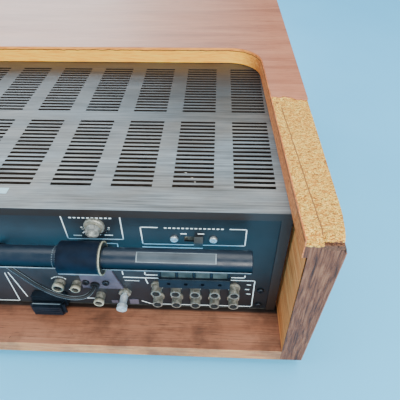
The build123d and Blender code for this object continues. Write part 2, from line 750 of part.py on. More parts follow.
def fuse_and_gland():
    """Fuse holder with a coin slot, and under it the empty gland for the mains lead."""
    collar = (PANEL_Y + 0.05, PANEL_Y + 3)
    cap_end = PANEL_Y + 13
    holder = rod_y(FUSE_X, collar, FUSE_Z, 8)
    holder += rod_y(FUSE_X, (collar[1], cap_end), FUSE_Z, 6)
    coin_slot = (cap_end - 1.5, cap_end + 1)
    holder -= block((FUSE_X - 7, FUSE_X + 7), coin_slot, (FUSE_Z - 0.7, FUSE_Z + 0.7))
    gland = rod_y(FUSE_X, (PANEL_Y + 0.05, PANEL_Y + 2.5), GLAND_Z, 7)
    gland += rod_y(FUSE_X, (PANEL_Y + 2.5, PANEL_Y + 12), GLAND_Z, 5)
    gland -= rod_y(FUSE_X, (PANEL_Y + 1.5, PANEL_Y + 13), GLAND_Z, GLAND_BORE_R)
    return group([holder, gland])


# ---- Front --------------------------------------------------------------------------------
def front_panel():
    """Thick face plate with its windows and the holes for the controls."""
    half = HALF_IN - 1
    face = block((-half, half), (FACE_Y, FACE_BACK), (BASE_TOP + 1, TOP_UNDER - 1))
    face = chamfer(face.edges().group_by(Axis.Y)[0], 0.8)
    through = (FACE_Y - 1, FACE_BACK + 1)
    face -= block((-WINDOW_HALF, WINDOW_HALF), through, WINDOW_BAND)
    meter_x = (METER_X - METER_W / 2, METER_X + METER_W / 2)
    meter_z = (METER_Z - METER_H / 2, METER_Z + METER_H / 2)
    face -= block(meter_x, through, meter_z)
    for x, z, _ in KNOBS.values():
        face -= rod_y(x, through, z, SHAFT_R + SHAFT_PLAY)
    for x, z in BUTTONS.values():
        face -= rod_y(x, through, z, BUTTON_R + 0.3)
    face -= rod_y(TUNING_X, through, TUNING_Z, SHAFT_R + SHAFT_PLAY)
    face -= rod_y(PHONE_X, through, PHONE_Z, PHONE_BARREL_R + GAP)
    return face


def dial_glass():
    low, high = WINDOW_BAND
    x = (-WINDOW_HALF + GAP, WINDOW_HALF - GAP)
    return block(x, (FACE_Y + 1, FACE_BACK - 0.5), (low + GAP, high - GAP))


def dial_plate():
    """Scale plate behind the window, with the pointer's rail along its top edge."""
    front, low, high = FACE_BACK + 3, WINDOW_BAND[0] - 4, WINDOW_BAND[1] + 3
    x = (-WINDOW_HALF - 15, WINDOW_HALF + 15)
    plate = block(x, (front, front + 1), (low, high))
    return plate + block(x, (front, front + 3), (high, high + 2))


def dial_pointer():
    """Thin needle hung from a carriage that rides on the rail."""
    front, top = FACE_BACK + 1, WINDOW_BAND[1] + 8
    needle = block((-0.6, 0.6), (front, front + 0.6), (WINDOW_BAND[0] + 4, top))
    carriage = block((-5, 5), (front, front + 5), (top - 2.6, top))
    return needle + carriage


def knob(x, z, radius, shaft_end):
    """Turned knob with a grip of flutes, on its own shaft."""
    skirt = FACE_Y - 1.5
    body = rod_y(x, (KNOB_TIP, skirt), z, radius)
    body = chamfer(body.edges().filter_by(GeomType.CIRCLE).sort_by(Axis.Y)[0], 1.0)
    flutes = 24
    for index in range(flutes):
        angle = 2 * math.pi * index / flutes
        groove_x = x + radius * math.cos(angle)
        groove_z = z + radius * math.sin(angle)
        body -= rod_y(groove_x, (KNOB_TIP - 1, skirt - 5), groove_z, radius * 0.06)
    body -= rod_y(x, (KNOB_TIP - 1, KNOB_TIP + 0.6), z, radius * 0.7)
    body += rod_y(x, (KNOB_TIP + 0.5, shaft_end), z, SHAFT_R)
    mark = (z + radius * 0.74, z + radius * 0.97)
    return body - block((x - 0.6, x + 0.6), (KNOB_TIP - 1, KNOB_TIP + 0.5), mark)


def tuning_flywheel():
    """Heavy flywheel pressed on the tuning shaft, hollowed round its hub."""
    start = FACE_BACK + 8
    wheel = rod_y(TUNING_X, (start, start + 8), TUNING_Z, FLYWHEEL_R)
    wheel -= rod_y(TUNING_X, (start - 1, start + 2), TUNING_Z, FLYWHEEL_R - 5)
    wheel += rod_y(TUNING_X, (start - 0.5, start + 2), TUNING_Z, 2 * SHAFT_R)
    return wheel - rod_y(TUNING_X, (start - 1, start + 9), TUNING_Z, SHAFT_R)


def button(x, z):
    body = rod_y(x, (KNOB_TIP + 10, FACE_BACK + 6), z, BUTTON_R)
    return fillet(body.edges().filter_by(GeomType.CIRCLE).sort_by(Axis.Y)[0], 0.8)


def control_pots():
    """Potentiometer cans behind the knobs and switch bodies behind the buttons."""
    solids = []
    for x, z, _ in KNOBS.values():
        can = rod_y(x, (FACE_BACK + 4, FACE_BACK + 18), z, 11)
        can += rod_y(x, (FACE_BACK + 0.2, FACE_BACK + 4), z, 5)
        bore = (FACE_BACK - 1, FACE_BACK + 13)
        solids.append(can - rod_y(x, bore, z, SHAFT_R + SHAFT_PLAY))
    button_end = FACE_BACK + 6
    for x, z in BUTTONS.values():
        y = (button_end + 3.5, button_end + 18)
        solids.append(block((x - 7, x + 7), y, (z - 7, z + 7)))
    return group(solids)


def phone_jack():
    """Headphone jack: a flange on the face and a long barrel behind it."""
    seat = FACE_Y - 0.05
    jack = rod_y(PHONE_X, (seat - 2.45, seat), PHONE_Z, 8)
    jack += rod_y(PHONE_X, (seat, FACE_BACK + 24), PHONE_Z, PHONE_BARREL_R)
    return jack - rod_y(PHONE_X, (seat - 3, FACE_BACK + 20), PHONE_Z, PHONE_R)


def meter_housing():
    """Shallow open case behind the meter's window."""
    x = (METER_X - METER_W / 2 + GAP, METER_X + METER_W / 2 - GAP)
    z = (METER_Z - METER_H / 2 + GAP, METER_Z + METER_H / 2 - GAP)
    case = block(x, (FACE_Y + 1, FACE_BACK + 14), z)
    well_x = (x[0] + METER_WALL, x[1] - METER_WALL)
    well_z = (z[0] + METER_WALL, z[1] - METER_WALL)
    case -= block(well_x, (FACE_Y, FACE_Y + 4), well_z)
    hub = (FACE_Y + 3, FACE_Y + 8)
    return case - rod_y(METER_X, hub, NEEDLE_Z, NEEDLE_HUB_R + SHAFT_PLAY)


def meter_needle():
    """Needle on its own arbor, leaning to the scale's zero at rest."""
    needle = Pos(0, 0, NEEDLE_LENGTH / 2) * Box(0.7, 0.5, NEEDLE_LENGTH)
    needle = Pos(METER_X, FACE_Y + 2.6, NEEDLE_Z) * Rot(0, -NEEDLE_LEAN, 0) * needle
    return needle + rod_y(METER_X, (FACE_Y + 2.2, FACE_Y + 7.5), NEEDLE_Z, NEEDLE_HUB_R)


# ---- Inside -------------------------------------------------------------------------------
FLOOR = BASE_TOP + PAN_T + 2 * GAP


def transformer_core():
    """Laminated core with two windows on either side of the centre limb."""
    core = block(CORE_X, CORE_Y, (FLOOR, FLOOR + CORE_H))
    through = (CORE_Y[0] - 1, CORE_Y[1] + 1)
    for low in CORE_WINDOWS:
        window = (low, low + CORE_WINDOW_W)
        core -= block(window, through, (FLOOR + CORE_LIMB, FLOOR + CORE_H - CORE_LIMB))
    return core


def transformer_coil():
    """Winding round the core's centre limb, through both windows."""
    clear = 0.3
    x = (CORE_WINDOWS[0] + clear, CORE_WINDOWS[1] + CORE_WINDOW_W - clear)
    y = (CORE_Y[0] - COIL_BULGE, CORE_Y[1] + COIL_BULGE)
    z = (FLOOR + CORE_LIMB + 1, FLOOR + CORE_H - CORE_LIMB - 1)
    coil = fillet(block(x, y, z).edges().filter_by(Axis.Z), 5)
    limb_x = (CORE_WINDOWS[0] + CORE_WINDOW_W - clear, CORE_WINDOWS[1] + clear)
    limb_y = (CORE_Y[0] - clear, CORE_Y[1] + clear)
    return coil - block(limb_x, limb_y, (FLOOR, FLOOR + CORE_H))


def filter_capacitors():
    """Two electrolytic cans with a rolled rim."""
    solids = []
    for x, y in CAPACITOR_PLACES:
        can = rod_z(x, y, (FLOOR, FLOOR + CAPACITOR_H), CAPACITOR_R)
        rim = (FLOOR + CAPACITOR_H - 1.5, FLOOR + CAPACITOR_H + 1)
        solids.append(can - rod_z(x, y, rim, CAPACITOR_R - 2))
    return group(solids)


def heatsink():
    """Finned extrusion standing on the chassis."""
    z = (FLOOR, FLOOR + SINK_H)
    sink = block(SINK_X, (SINK_Y, SINK_Y + SINK_T), z)
    pitch = (SINK_X[1] - SINK_X[0] - 4) / (SINK_FINS - 1)
    for index in range(SINK_FINS):
        x = SINK_X[0] + 2 + index * pitch
        sink += block((x - 1, x + 1), (SINK_Y + SINK_T, SINK_Y + SINK_DEPTH), z)
    return sink


def heatsink_with_transistors():
    """The heatsink, and four round metal-can transistors on its flat face."""
    solids = [heatsink()]
    step = (SINK_X[1] - SINK_X[0]) / 4
    for index in range(4):
        x = SINK_X[0] + (index + 0.5) * step
        can = rod_y(x, (SINK_Y - 7.5, SINK_Y - 2), FLOOR + 34, 10)
        can += rod_y(x, (SINK_Y - 2, SINK_Y - GAP), FLOOR + 34, 12.5)
        solids.append(can)
    return group(solids)


def circuit_board(x, y, height):
    """Board on four pillars."""
    board = block(x, y, (height, height + BOARD_T))
    inset = 5
    for pillar_x in (x[0] + inset, x[1] - inset):
        for pillar_y in (y[0] + inset, y[1] - inset):
            board += rod_z(pillar_x, pillar_y, (FLOOR, height), 2.5)
    return board


def circuit_boards():
    """The amplifier's board and, on the -X side, the tuner's board."""
    amplifier = circuit_board((20, 112), (-40, 100), 38)
    tuner = circuit_board(TUNER_X, TUNER_Y, TUNER_Z)
    return group([amplifier, tuner])


def coil_cans():
    """Shielded intermediate-frequency coils in two rows on the tuner board."""
    solids = []
    foot = TUNER_Z + BOARD_T + 0.05
    for column in range(5):
        x = TUNER_X[0] + 20 + column * 25
        for y in (-20, 20):
            can = block((x - 5, x + 5), (y - 5, y + 5), (foot, foot + CAN_H))
            solids.append(can - rod_z(x, y, (foot + CAN_H - 2, foot + CAN_H + 1), 2))
    return group(solids)


def gang_frame():
    """Tuning capacitor's frame: floor, two end plates and the fixed plates between them."""
    x = (GANG_X - 22, GANG_X + 22)
    frame = block(x, GANG_Y, (FLOOR, FLOOR + 3))
    for low in (GANG_Y[0], GANG_Y[1] - 2):
        frame += block(x, (low, low + 2), (FLOOR, GANG_Z + 20))
    for index in range(GANG_PLATES + 1):
        y = GANG_Y[0] + GANG_FIRST + index * GANG_PITCH
        plate_x = (GANG_X - 20, GANG_X - 5)
        frame += block(plate_x, (y, y + 1), (FLOOR, GANG_Z + 12))
    hole = (GANG_Y[0] - 1, GANG_Y[1] + 1)
    return frame - rod_y(GANG_X, hole, GANG_Z, SHAFT_R + SHAFT_PLAY)


def gang_rotor():
    """Shaft with a dial-cord drum, and half-round plates that turn between the fixed plates."""
    rotor = rod_y(GANG_X, (GANG_Y[0] - 12, GANG_Y[1] + 1), GANG_Z, SHAFT_R)
    rotor += rod_y(GANG_X, (GANG_Y[0] - 11, GANG_Y[0] - 4), GANG_Z, GANG_DRUM_R)
    for index in range(GANG_PLATES):
        y = GANG_Y[0] + GANG_FIRST + (index + 0.5) * GANG_PITCH
        disc = rod_y(GANG_X, (y, y + 1), GANG_Z, GANG_PLATE_R)
        lower = (GANG_Z - GANG_PLATE_R - 1, GANG_Z - 1)
        half = (GANG_X - GANG_PLATE_R - 1, GANG_X + GANG_PLATE_R + 1)
        rotor += disc - block(half, (y - 1, y + 2), lower)
    return rotor


NODES = {
    "cabinet_side_left": cabinet_side(1),
    "cabinet_side_right": cabinet_side(-1),
    "cabinet_top": cabinet_top(),
    "cabinet_bottom": cabinet_bottom(),
    "top_veneer": top_veneer(),
    "side_veneers": side_veneers(),
    "cutout_edge_band": cutout_edge_band(),
    "feet": feet(),
    "cabinet_fasteners": cabinet_fasteners(),
    "chassis_pan": chassis_pan(),
    "top_cover": top_cover(),
    "rear_panel": rear_panel(),
    "rear_screws": rear_screws(),
    "phono_jacks": phono_jacks(),
    "muting_pot": muting_pot(),
    "muting_shaft": muting_shaft(),
    "attenuator_switch": attenuator_switch(),
    "attenuator_slider": attenuator_slider(),
    "terminal_block": terminal_block(),
    "ground_post": ground_post(),
    "ground_screw": ground_screw(),
    "link_socket": link_socket(),
    "lead_grommets": lead_grommets(),
    "antenna_lead": antenna_lead(),
    "antenna_bracket": antenna_bracket(),
    "pivot_pin": pivot_pin(),
    "antenna_sleeve": antenna_sleeve(),
    "antenna_ring": antenna_ring(),
    "ferrite_bar": ferrite_bar(),
    "speaker_terminals": speaker_terminals(),
    "ac_outlets": ac_outlets(),
    "fuse_and_gland": fuse_and_gland(),
    "front_panel": front_panel(),
    "dial_glass": dial_glass(),
    "dial_plate": dial_plate(),
    "dial_pointer": dial_pointer(),
    "tuning_knob": knob(TUNING_X, TUNING_Z, TUNING_R, FACE_BACK + 20),
    "tuning_flywheel": tuning_flywheel(),
    "control_pots": control_pots(),
    "phone_jack": phone_jack(),
    "meter_housing": meter_housing(),
    "meter_needle": meter_needle(),
    "transformer_core": transformer_core(),
    "transformer_coil": transformer_coil(),
    "filter_capacitors": filter_capacitors(),
    "heatsink": heatsink_with_transistors(),
    "circuit_boards": circuit_boards(),
    "coil_cans": coil_cans(),
    "gang_frame": gang_frame(),
    "gang_rotor": gang_rotor(),
}
for column in range(len(LEVER_COLUMNS)):
    NODES[f"antenna_lever_{column + 1}"] = antenna_lever(column)
for name, (x, z, radius) in KNOBS.items():
    NODES[name] = knob(x, z, radius, FACE_BACK + 12)
for name, (x, z) in BUTTONS.items():
    NODES[name] = button(x, z)

for name, shape in NODES.items():
    export_step(shape, f"parts/{name}.step")
print(len(NODES), "nodes")
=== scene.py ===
"""Looks of a vintage stereo receiver in a wood sleeve cabinet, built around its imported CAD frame.

The frame's X is right seen from the controls, Y runs from the controls to the connector panel,
and Z is up. Sizes inside the helpers are millimetres; MM turns them into Blender's metres.
"""

import math
import random

import bmesh
import bpy
from mathutils import Matrix, Vector


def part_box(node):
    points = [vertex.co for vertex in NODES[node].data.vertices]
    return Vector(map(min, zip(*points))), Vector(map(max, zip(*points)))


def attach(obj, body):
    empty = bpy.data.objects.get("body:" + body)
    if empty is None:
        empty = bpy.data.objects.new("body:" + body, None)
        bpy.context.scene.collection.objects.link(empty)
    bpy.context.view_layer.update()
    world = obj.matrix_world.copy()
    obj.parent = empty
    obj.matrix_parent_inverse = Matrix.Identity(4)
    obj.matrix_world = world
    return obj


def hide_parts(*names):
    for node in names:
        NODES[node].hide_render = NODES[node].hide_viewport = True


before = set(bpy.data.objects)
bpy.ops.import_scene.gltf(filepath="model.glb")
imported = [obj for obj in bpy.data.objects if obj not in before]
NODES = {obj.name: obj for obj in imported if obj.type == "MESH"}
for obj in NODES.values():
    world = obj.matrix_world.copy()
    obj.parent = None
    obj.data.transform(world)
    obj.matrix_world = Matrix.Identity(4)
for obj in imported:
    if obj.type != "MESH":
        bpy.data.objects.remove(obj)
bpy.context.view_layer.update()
MM = 0.001


# ---- Places read from the frame, in millimetres ----
def low_high(node):
    """A CAD node's lowest and highest corners in millimetres."""
    low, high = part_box(node)
    return low / MM, high / MM


PANEL_Y = low_high("rear_panel")[1].y
BOARD_TOP = low_high("cabinet_side_right")[1].z
BODY_TOP = low_high("top_cover")[1].z
CABINET_LOW, CABINET_HIGH = low_high("top_veneer")
BAR_LOW, BAR_HIGH = low_high("ferrite_bar")
BAR_CENTRE = ((BAR_LOW.y + BAR_HIGH.y) / 2, (BAR_LOW.z + BAR_HIGH.z) / 2)
SLEEVE_LOW, SLEEVE_HIGH = low_high("antenna_sleeve")
RING_LOW = low_high("antenna_ring")[0]


def show(name, data):
    """Makes an object of some data and puts it in the scene."""
    item = bpy.data.objects.new(name, data)
    bpy.context.scene.collection.objects.link(item)
    return item


# ---- Camera and light ----
CAMERA_PLACE = (-0.1738, 0.3841, 0.3331)
CAMERA_TURN = 182.946
CAMERA_DOWN = 42.986
CAMERA_ROLL = -0.819
CAMERA_LENS = 35.867


def add_camera():
    data = bpy.data.cameras.new("camera")
    data.lens = CAMERA_LENS
    data.clip_start = 0.01
    camera = show("camera", data)
    turn = Matrix.Rotation(math.radians(CAMERA_TURN), 3, "Z")
    tilt = Matrix.Rotation(math.radians(90 - CAMERA_DOWN), 3, "X")
    roll = Matrix.Rotation(math.radians(CAMERA_ROLL), 3, "Z")
    camera.rotation_euler = (turn @ tilt @ roll).to_euler()
    camera.location = CAMERA_PLACE
    bpy.context.scene.camera = camera


def add_area(name, place, size, watts, colour):
    """A lamp aimed at the middle of what the camera sees."""
    data = bpy.data.lights.new(name, "AREA")
    data.shape = "RECTANGLE"
    data.size, data.size_y = size
    data.energy = watts
    data.color = colour
    lamp = show(name, data)
    lamp.location = place
    aim = Vector((-0.1, 0.1, 0.1)) - Vector(place)
    lamp.rotation_euler = aim.to_track_quat("-Z", "Y").to_euler()


def add_light():
    world = bpy.data.worlds.new("studio")
    world.use_nodes = True
    sky = world.node_tree.nodes["Background"]
    sky.inputs["Color"].default_value = (0.42, 0.76, 1.0, 1)
    sky.inputs["Strength"].default_value = 0.62
    bpy.context.scene.world = world
    add_area("overhead", (-0.2, -0.1, 1.5), (1.6, 1.2), 26, (1.0, 0.95, 0.88))
    add_area("window", (1.3, 0.5, 1.0), (1.0, 1.0), 12, (0.86, 0.94, 1.0))
    add_area("fill", (-0.5, 1.6, 0.9), (1.2, 0.8), 54, (1.0, 0.95, 0.88))
    add_area("sheen", (1.1, -2.0, 0.95), (1.7, 1.0), 34, (0.74, 0.89, 1.0))


# ---- The broken arm, at -X and +Y, in millimetres ----
# The top veneer is chipped off behind CHIP_Y, and the rear end is broken above BREAK_Z.
CHIP_Y = 65.0
BREAK_Z = 151.0
# The whole arm lies beyond ARM_X, and its worn outer corner beyond CORNER_X.
ARM_X = -216.0
CORNER_X = -240.0
NAIL = (-225.9, 72.8)
# How deep the stain of a board's ends goes.
STAIN = 0.15


# ---- Materials ----
class Look:
    """A material being made: short calls for the nodes that the finishes share.

    Pattern coordinates are the piece's own, in millimetres, so that a grain keeps its scale.
    """

    def __init__(self, name, colour, roughness, metallic=0.0, **sockets):
        self.material = bpy.data.materials.new(name)
        self.material.use_nodes = True
        self.tree = self.material.node_tree
        self.sockets = self.tree.nodes["Principled BSDF"].inputs
        self.sockets["Base Color"].default_value = (*colour, 1)
        self.sockets["Roughness"].default_value = roughness
        self.sockets["Metallic"].default_value = metallic
        for key, value in sockets.items():
            self.sockets[key.replace("_", " ")].default_value = value
        self.place = self.make("TexCoord").outputs["Object"]

    def join(self, source, socket):
        """Links an output, or sets a plain value."""
        if isinstance(source, bpy.types.NodeSocket):
            self.tree.links.new(source, socket)
        else:
            socket.default_value = source

    def make(self, kind, **values):
        """Adds a node, and sets or links its inputs by their names."""
        node = self.tree.nodes.new(f"ShaderNode{kind}")
        for name, value in values.items():
            self.join(value, node.inputs[name])
        return node

    def stretched(self, stretch):
        scale = [value / MM for value in stretch]
        return self.make("Mapping", Vector=self.place, Scale=scale).outputs["Vector"]

    def noise(self, scale, stretch=(1, 1, 1), detail=3.0, rough=0.5, twist=0.0):
        node = self.make("TexNoise", Vector=self.stretched(stretch), Scale=scale)
        for name, value in (("Detail", detail), ("Roughness", rough), ("Distortion", twist)):
            node.inputs[name].default_value = value
        return node.outputs["Fac"]

    def cells(self, scale, stretch):
        """A random grey level for each cell."""
        node = self.make("TexVoronoi", Vector=self.stretched(stretch), Scale=scale)
        return self.ramp(node.outputs["Color"], (0, 0.0), (1, 1.0))

    def ramp(self, value, *stops):
        """Colours or grey levels at places from 0 to 1."""
        node = self.make("ValToRGB", Fac=value)
        elements = node.color_ramp.elements
        while len(elements) < len(stops):
            elements.new(0.5)
        for element, (place, colour) in zip(elements, stops):
            element.position = place
            grey = isinstance(colour, (int, float))
            element.color = (colour, colour, colour, 1) if grey else (*colour, 1)
        return node.outputs["Color"]

    def shades(self, value, spread, *colours):
        """Colours or grey levels spaced evenly over the middle of a value's range."""
        last = len(colours) - 1
        places = [0.5 + spread * (2 * k / last - 1) for k in range(last + 1)]
        return self.ramp(value, *zip(places, colours))

    def mix(self, factor, first, second, mode="MIX"):
        node = self.make("Mix")
        node.data_type = "RGBA"
        node.blend_type = mode
        colours = [(*c, 1) if isinstance(c, tuple) else c for c in (first, second)]
        self.join(factor, node.inputs[0])
        self.join(colours[0], node.inputs[6])
        self.join(colours[1], node.inputs[7])
        return node.outputs[2]

    def layers(self, tone, *filters):
        """A colour darkened by each filter in turn."""
        for layer in filters:
            tone = self.mix(1.0, tone, layer, "MULTIPLY")
        return tone

    def math(self, operation, first, second=0.5):
        node = self.make("Math")
        node.operation = operation
        self.join(first, node.inputs[0])
        self.join(second, node.inputs[1])
        return node.outputs[0]

    def plus(self, first, second):
        return self.math("ADD", first, second)

    def minus(self, first, second):
        return self.math("SUBTRACT", first, second)

    def above(self, value, limit):
        return self.math("GREATER_THAN", value, limit)

    def below(self, value, limit):
        return self.math("LESS_THAN", value, limit)

    def times(self, value, *factors):
        for factor in factors:
            value = self.math("MULTIPLY", value, factor)
        return value

    def wander(self, scale, detail, reach):
        """Noise about zero, of that reach in millimetres."""
        noise = self.noise(scale, detail=detail)
        return self.times(self.minus(noise, 0.5), reach)

    def axis(self, name):
        """One object coordinate in millimetres."""
        node = self.make("SeparateXYZ", Vector=self.place)
        return self.times(node.outputs[name], 1 / MM)

    def across(self, name, start, width):
        """An object coordinate as 0 at its start, in millimetres, and 1 at its start + width."""
        return self.math("DIVIDE", self.minus(self.axis(name), start), width)

    def distance(self, axes, centre):
        """Distance from a point in millimetres, over two object coordinates."""
        away = [self.minus(self.axis(name), value) for name, value in zip(axes, centre)]
        squares = [self.times(value, value) for value in away]
        return self.math("SQRT", self.plus(*squares))

    def tone(self):
        """The base colour linked so far."""
        return self.sockets["Base Color"].links[0].from_socket

    def colour(self, source):
        self.join(source, self.sockets["Base Color"])

    def rough(self, source):
        self.join(source, self.sockets["Roughness"])

    def bump(self, height, depth, strength):
        """Relief of that depth in millimetres."""
        node = self.make("Bump", Strength=strength, Distance=depth * MM, Height=height)
        old = self.sockets["Normal"].links
        if old:
            self.join(old[0].from_socket, node.inputs["Normal"])
        self.join(node.outputs["Normal"], self.sockets["Normal"])


def along(axis, ratio):
    """A stretch that makes a pattern long along one axis."""
    return tuple(1 / ratio if name == axis else 1.0 for name in "xyz")


def wood(name, grain, dark, middle, light, roughness):
    """Planed wood with streaks, broad bands and pores along its grain."""
    look = Look(name, middle, roughness)
    streaks = look.noise(0.75, along(grain, 45), 5, 0.62, 0.25)
    bands = look.noise(0.05, along(grain, 9), 3, 0.5, 0.8)
    tone = look.shades(look.mix(0.55, streaks, bands), 0.16, dark, middle, light)
    pores = look.ramp(look.noise(1.7, along(grain, 26), 2, 0.6), (0.30, 0.35), (0.42, 1.0))
    look.colour(look.layers(tone, pores))
    look.rough(look.shades(streaks, 0.2, roughness + 0.1, roughness - 0.06))
    look.bump(pores, 0.12, 0.4)
    return look


def veneer_with_painted_sheen():
    """Top veneer: a painted sheen, paler from -X to the middle."""
    look = wood(
        "walnut veneer", "x", (0.26, 0.075, 0.03), (0.42, 0.145, 0.07), (0.52, 0.21, 0.11), 0.46
    )
    # Painted sheen: a pale pink tint mixed in, growing from -X to the middle.
    painted_sheen = look.ramp(look.across("X", -250.0, 500.0), (0.03, 0.0), (0.2, 0.3), (0.5, 0.62))
    uneven = look.shades(look.noise(0.02, (1 / 3, 1, 1), 4), 0.15, 0.75, 1.0)
    look.colour(look.mix(look.layers(painted_sheen, uneven), look.tone(), (0.64, 0.43, 0.35)))
    return look


def stained_base():
    """Bottom board: reddish stain, grime and spots, a painted contact shadow where the panel meets it,
    and a paler rear edge.
    """
    look = wood(
        "base board", "x", (0.2, 0.07, 0.034), (0.31, 0.125, 0.068), (0.42, 0.2, 0.12), 0.5
    )
    streaks = look.noise(0.7, along("x", 20), 4, 0.65)
    edge = look.shades(streaks, 0.15, (0.36, 0.11, 0.03), (0.5, 0.2, 0.065), (0.62, 0.32, 0.12))
    on_rear = look.above(look.axis("Y"), CABINET_HIGH.y - STAIN)
    grime = look.ramp(look.noise(0.03, detail=6, rough=0.65), (0.36, 0.5), (0.55, 1.0))
    spots = look.ramp(look.noise(0.3, detail=3, rough=0.6), (0.24, 0.45), (0.32, 1.0))
    # Painted contact shadow: near black within about 3 mm of the panel's foot, gone by about 15 mm.
    gap = look.math("ABSOLUTE", look.across("Y", PANEL_Y, 30.0))
    corner = look.ramp(gap, (0.0, 0.02), (0.1, 0.05), (0.17, 0.8), (0.5, 1.0))
    look.colour(look.layers(look.mix(on_rear, look.tone(), edge), grime, corner, spots))
    return look


def cover_vinyl():
    """Printed wood-grain vinyl on steel: grey streaks along X, darker to the front, partly by painted
    light.
    """
    look = Look("cover vinyl", (0.2, 0.17, 0.15), 0.42)
    streaks = look.noise(0.9, along("x", 50), 4, 0.65, 0.3)
    bands = look.noise(0.045, along("x", 5), 3, 0.55, 1.2)
    blend = look.mix(0.35, streaks, bands)
    grey = look.shades(
        blend, 0.18, (0.05, 0.048, 0.046), (0.175, 0.182, 0.183), (0.28, 0.292, 0.295)
    )
    dark = look.shades(blend, 0.18, (0.008, 0.007, 0.007), (0.022, 0.02, 0.02), (0.05, 0.046, 0.044))
    # From front to rear the vinyl goes from dark brown to light grey: partly its tone, partly painted
    # shade near the cut-out and painted sheen further back.
    front_shade_rear_sheen = look.ramp(look.across("Y", 0.0, 200.0), (0.0, 0.0), (0.7, 1.0))
    patches = look.shades(look.noise(0.016, (0.45, 1, 1), 4, 0.6), 0.12, 0.0, 1.0)
    tint = look.mix(patches, (1.0, 0.86, 0.74), (0.86, 1.0, 1.12))
    worn = look.ramp(look.noise(0.05, (0.3, 1, 1), 5, 0.7), (0.3, 0.72), (0.6, 1.08))
    top = look.mix(0.8, look.mix(front_shade_rear_sheen, dark, grey), tint, "MULTIPLY")
    upper = look.above(look.axis("Z"), BODY_TOP - 0.08)
    look.colour(look.mix(upper, (0.02, 0.013, 0.01), look.layers(top, worn)))
    look.rough(look.shades(bands, 0.2, 0.48, 0.36))
    look.bump(streaks, 0.05, 0.5)
    look.bump(look.noise(2.2, detail=1), 0.03, 0.35)
    return look


def split_strip():
    """Cut edge of the top board: a stained lip, an open dark glue line and pale flakes below."""
    look = Look("split edge strip", (0.8, 0.45, 0.18), 0.55)
    level = look.plus(look.axis("Z"), look.wander(0.12, 5, 2.2))
    streaks = look.noise(0.8, (1 / 14, 1 / 3, 1), 4, 0.65, 0.3)
    lip = look.shades(streaks, 0.15, (0.62, 0.2, 0.03), (0.95, 0.42, 0.08))
    body = look.shades(streaks, 0.18, (0.85, 0.33, 0.02), (1.0, 0.47, 0.03), (1.0, 0.64, 0.08))
    tone = look.mix(look.above(level, BOARD_TOP - 2.6), body, lip)
    red = look.ramp(
        streaks, (0.32, (0.3, 0.07, 0.015)), (0.5, (0.62, 0.17, 0.04)), (0.7, (0.8, 0.33, 0.1))
    )
    on_arms = look.ramp(look.math("ABSOLUTE", look.across("X", 0.0, 250.0)), (0.8, 0.0), (0.875, 1.0))
    tone = look.mix(on_arms, tone, red)
    line = look.math("COMPARE", level, BOARD_TOP - 2.7)
    line.node.inputs[2].default_value = 0.45
    dark = look.times(line, look.above(look.noise(0.05, detail=3), 0.3))
    look.colour(look.mix(dark, tone, (0.05, 0.02, 0.008)))
    look.rough(look.shades(streaks, 0.2, 0.62, 0.46))
    look.bump(look.minus(streaks, dark), 0.25, 0.5)
    return look


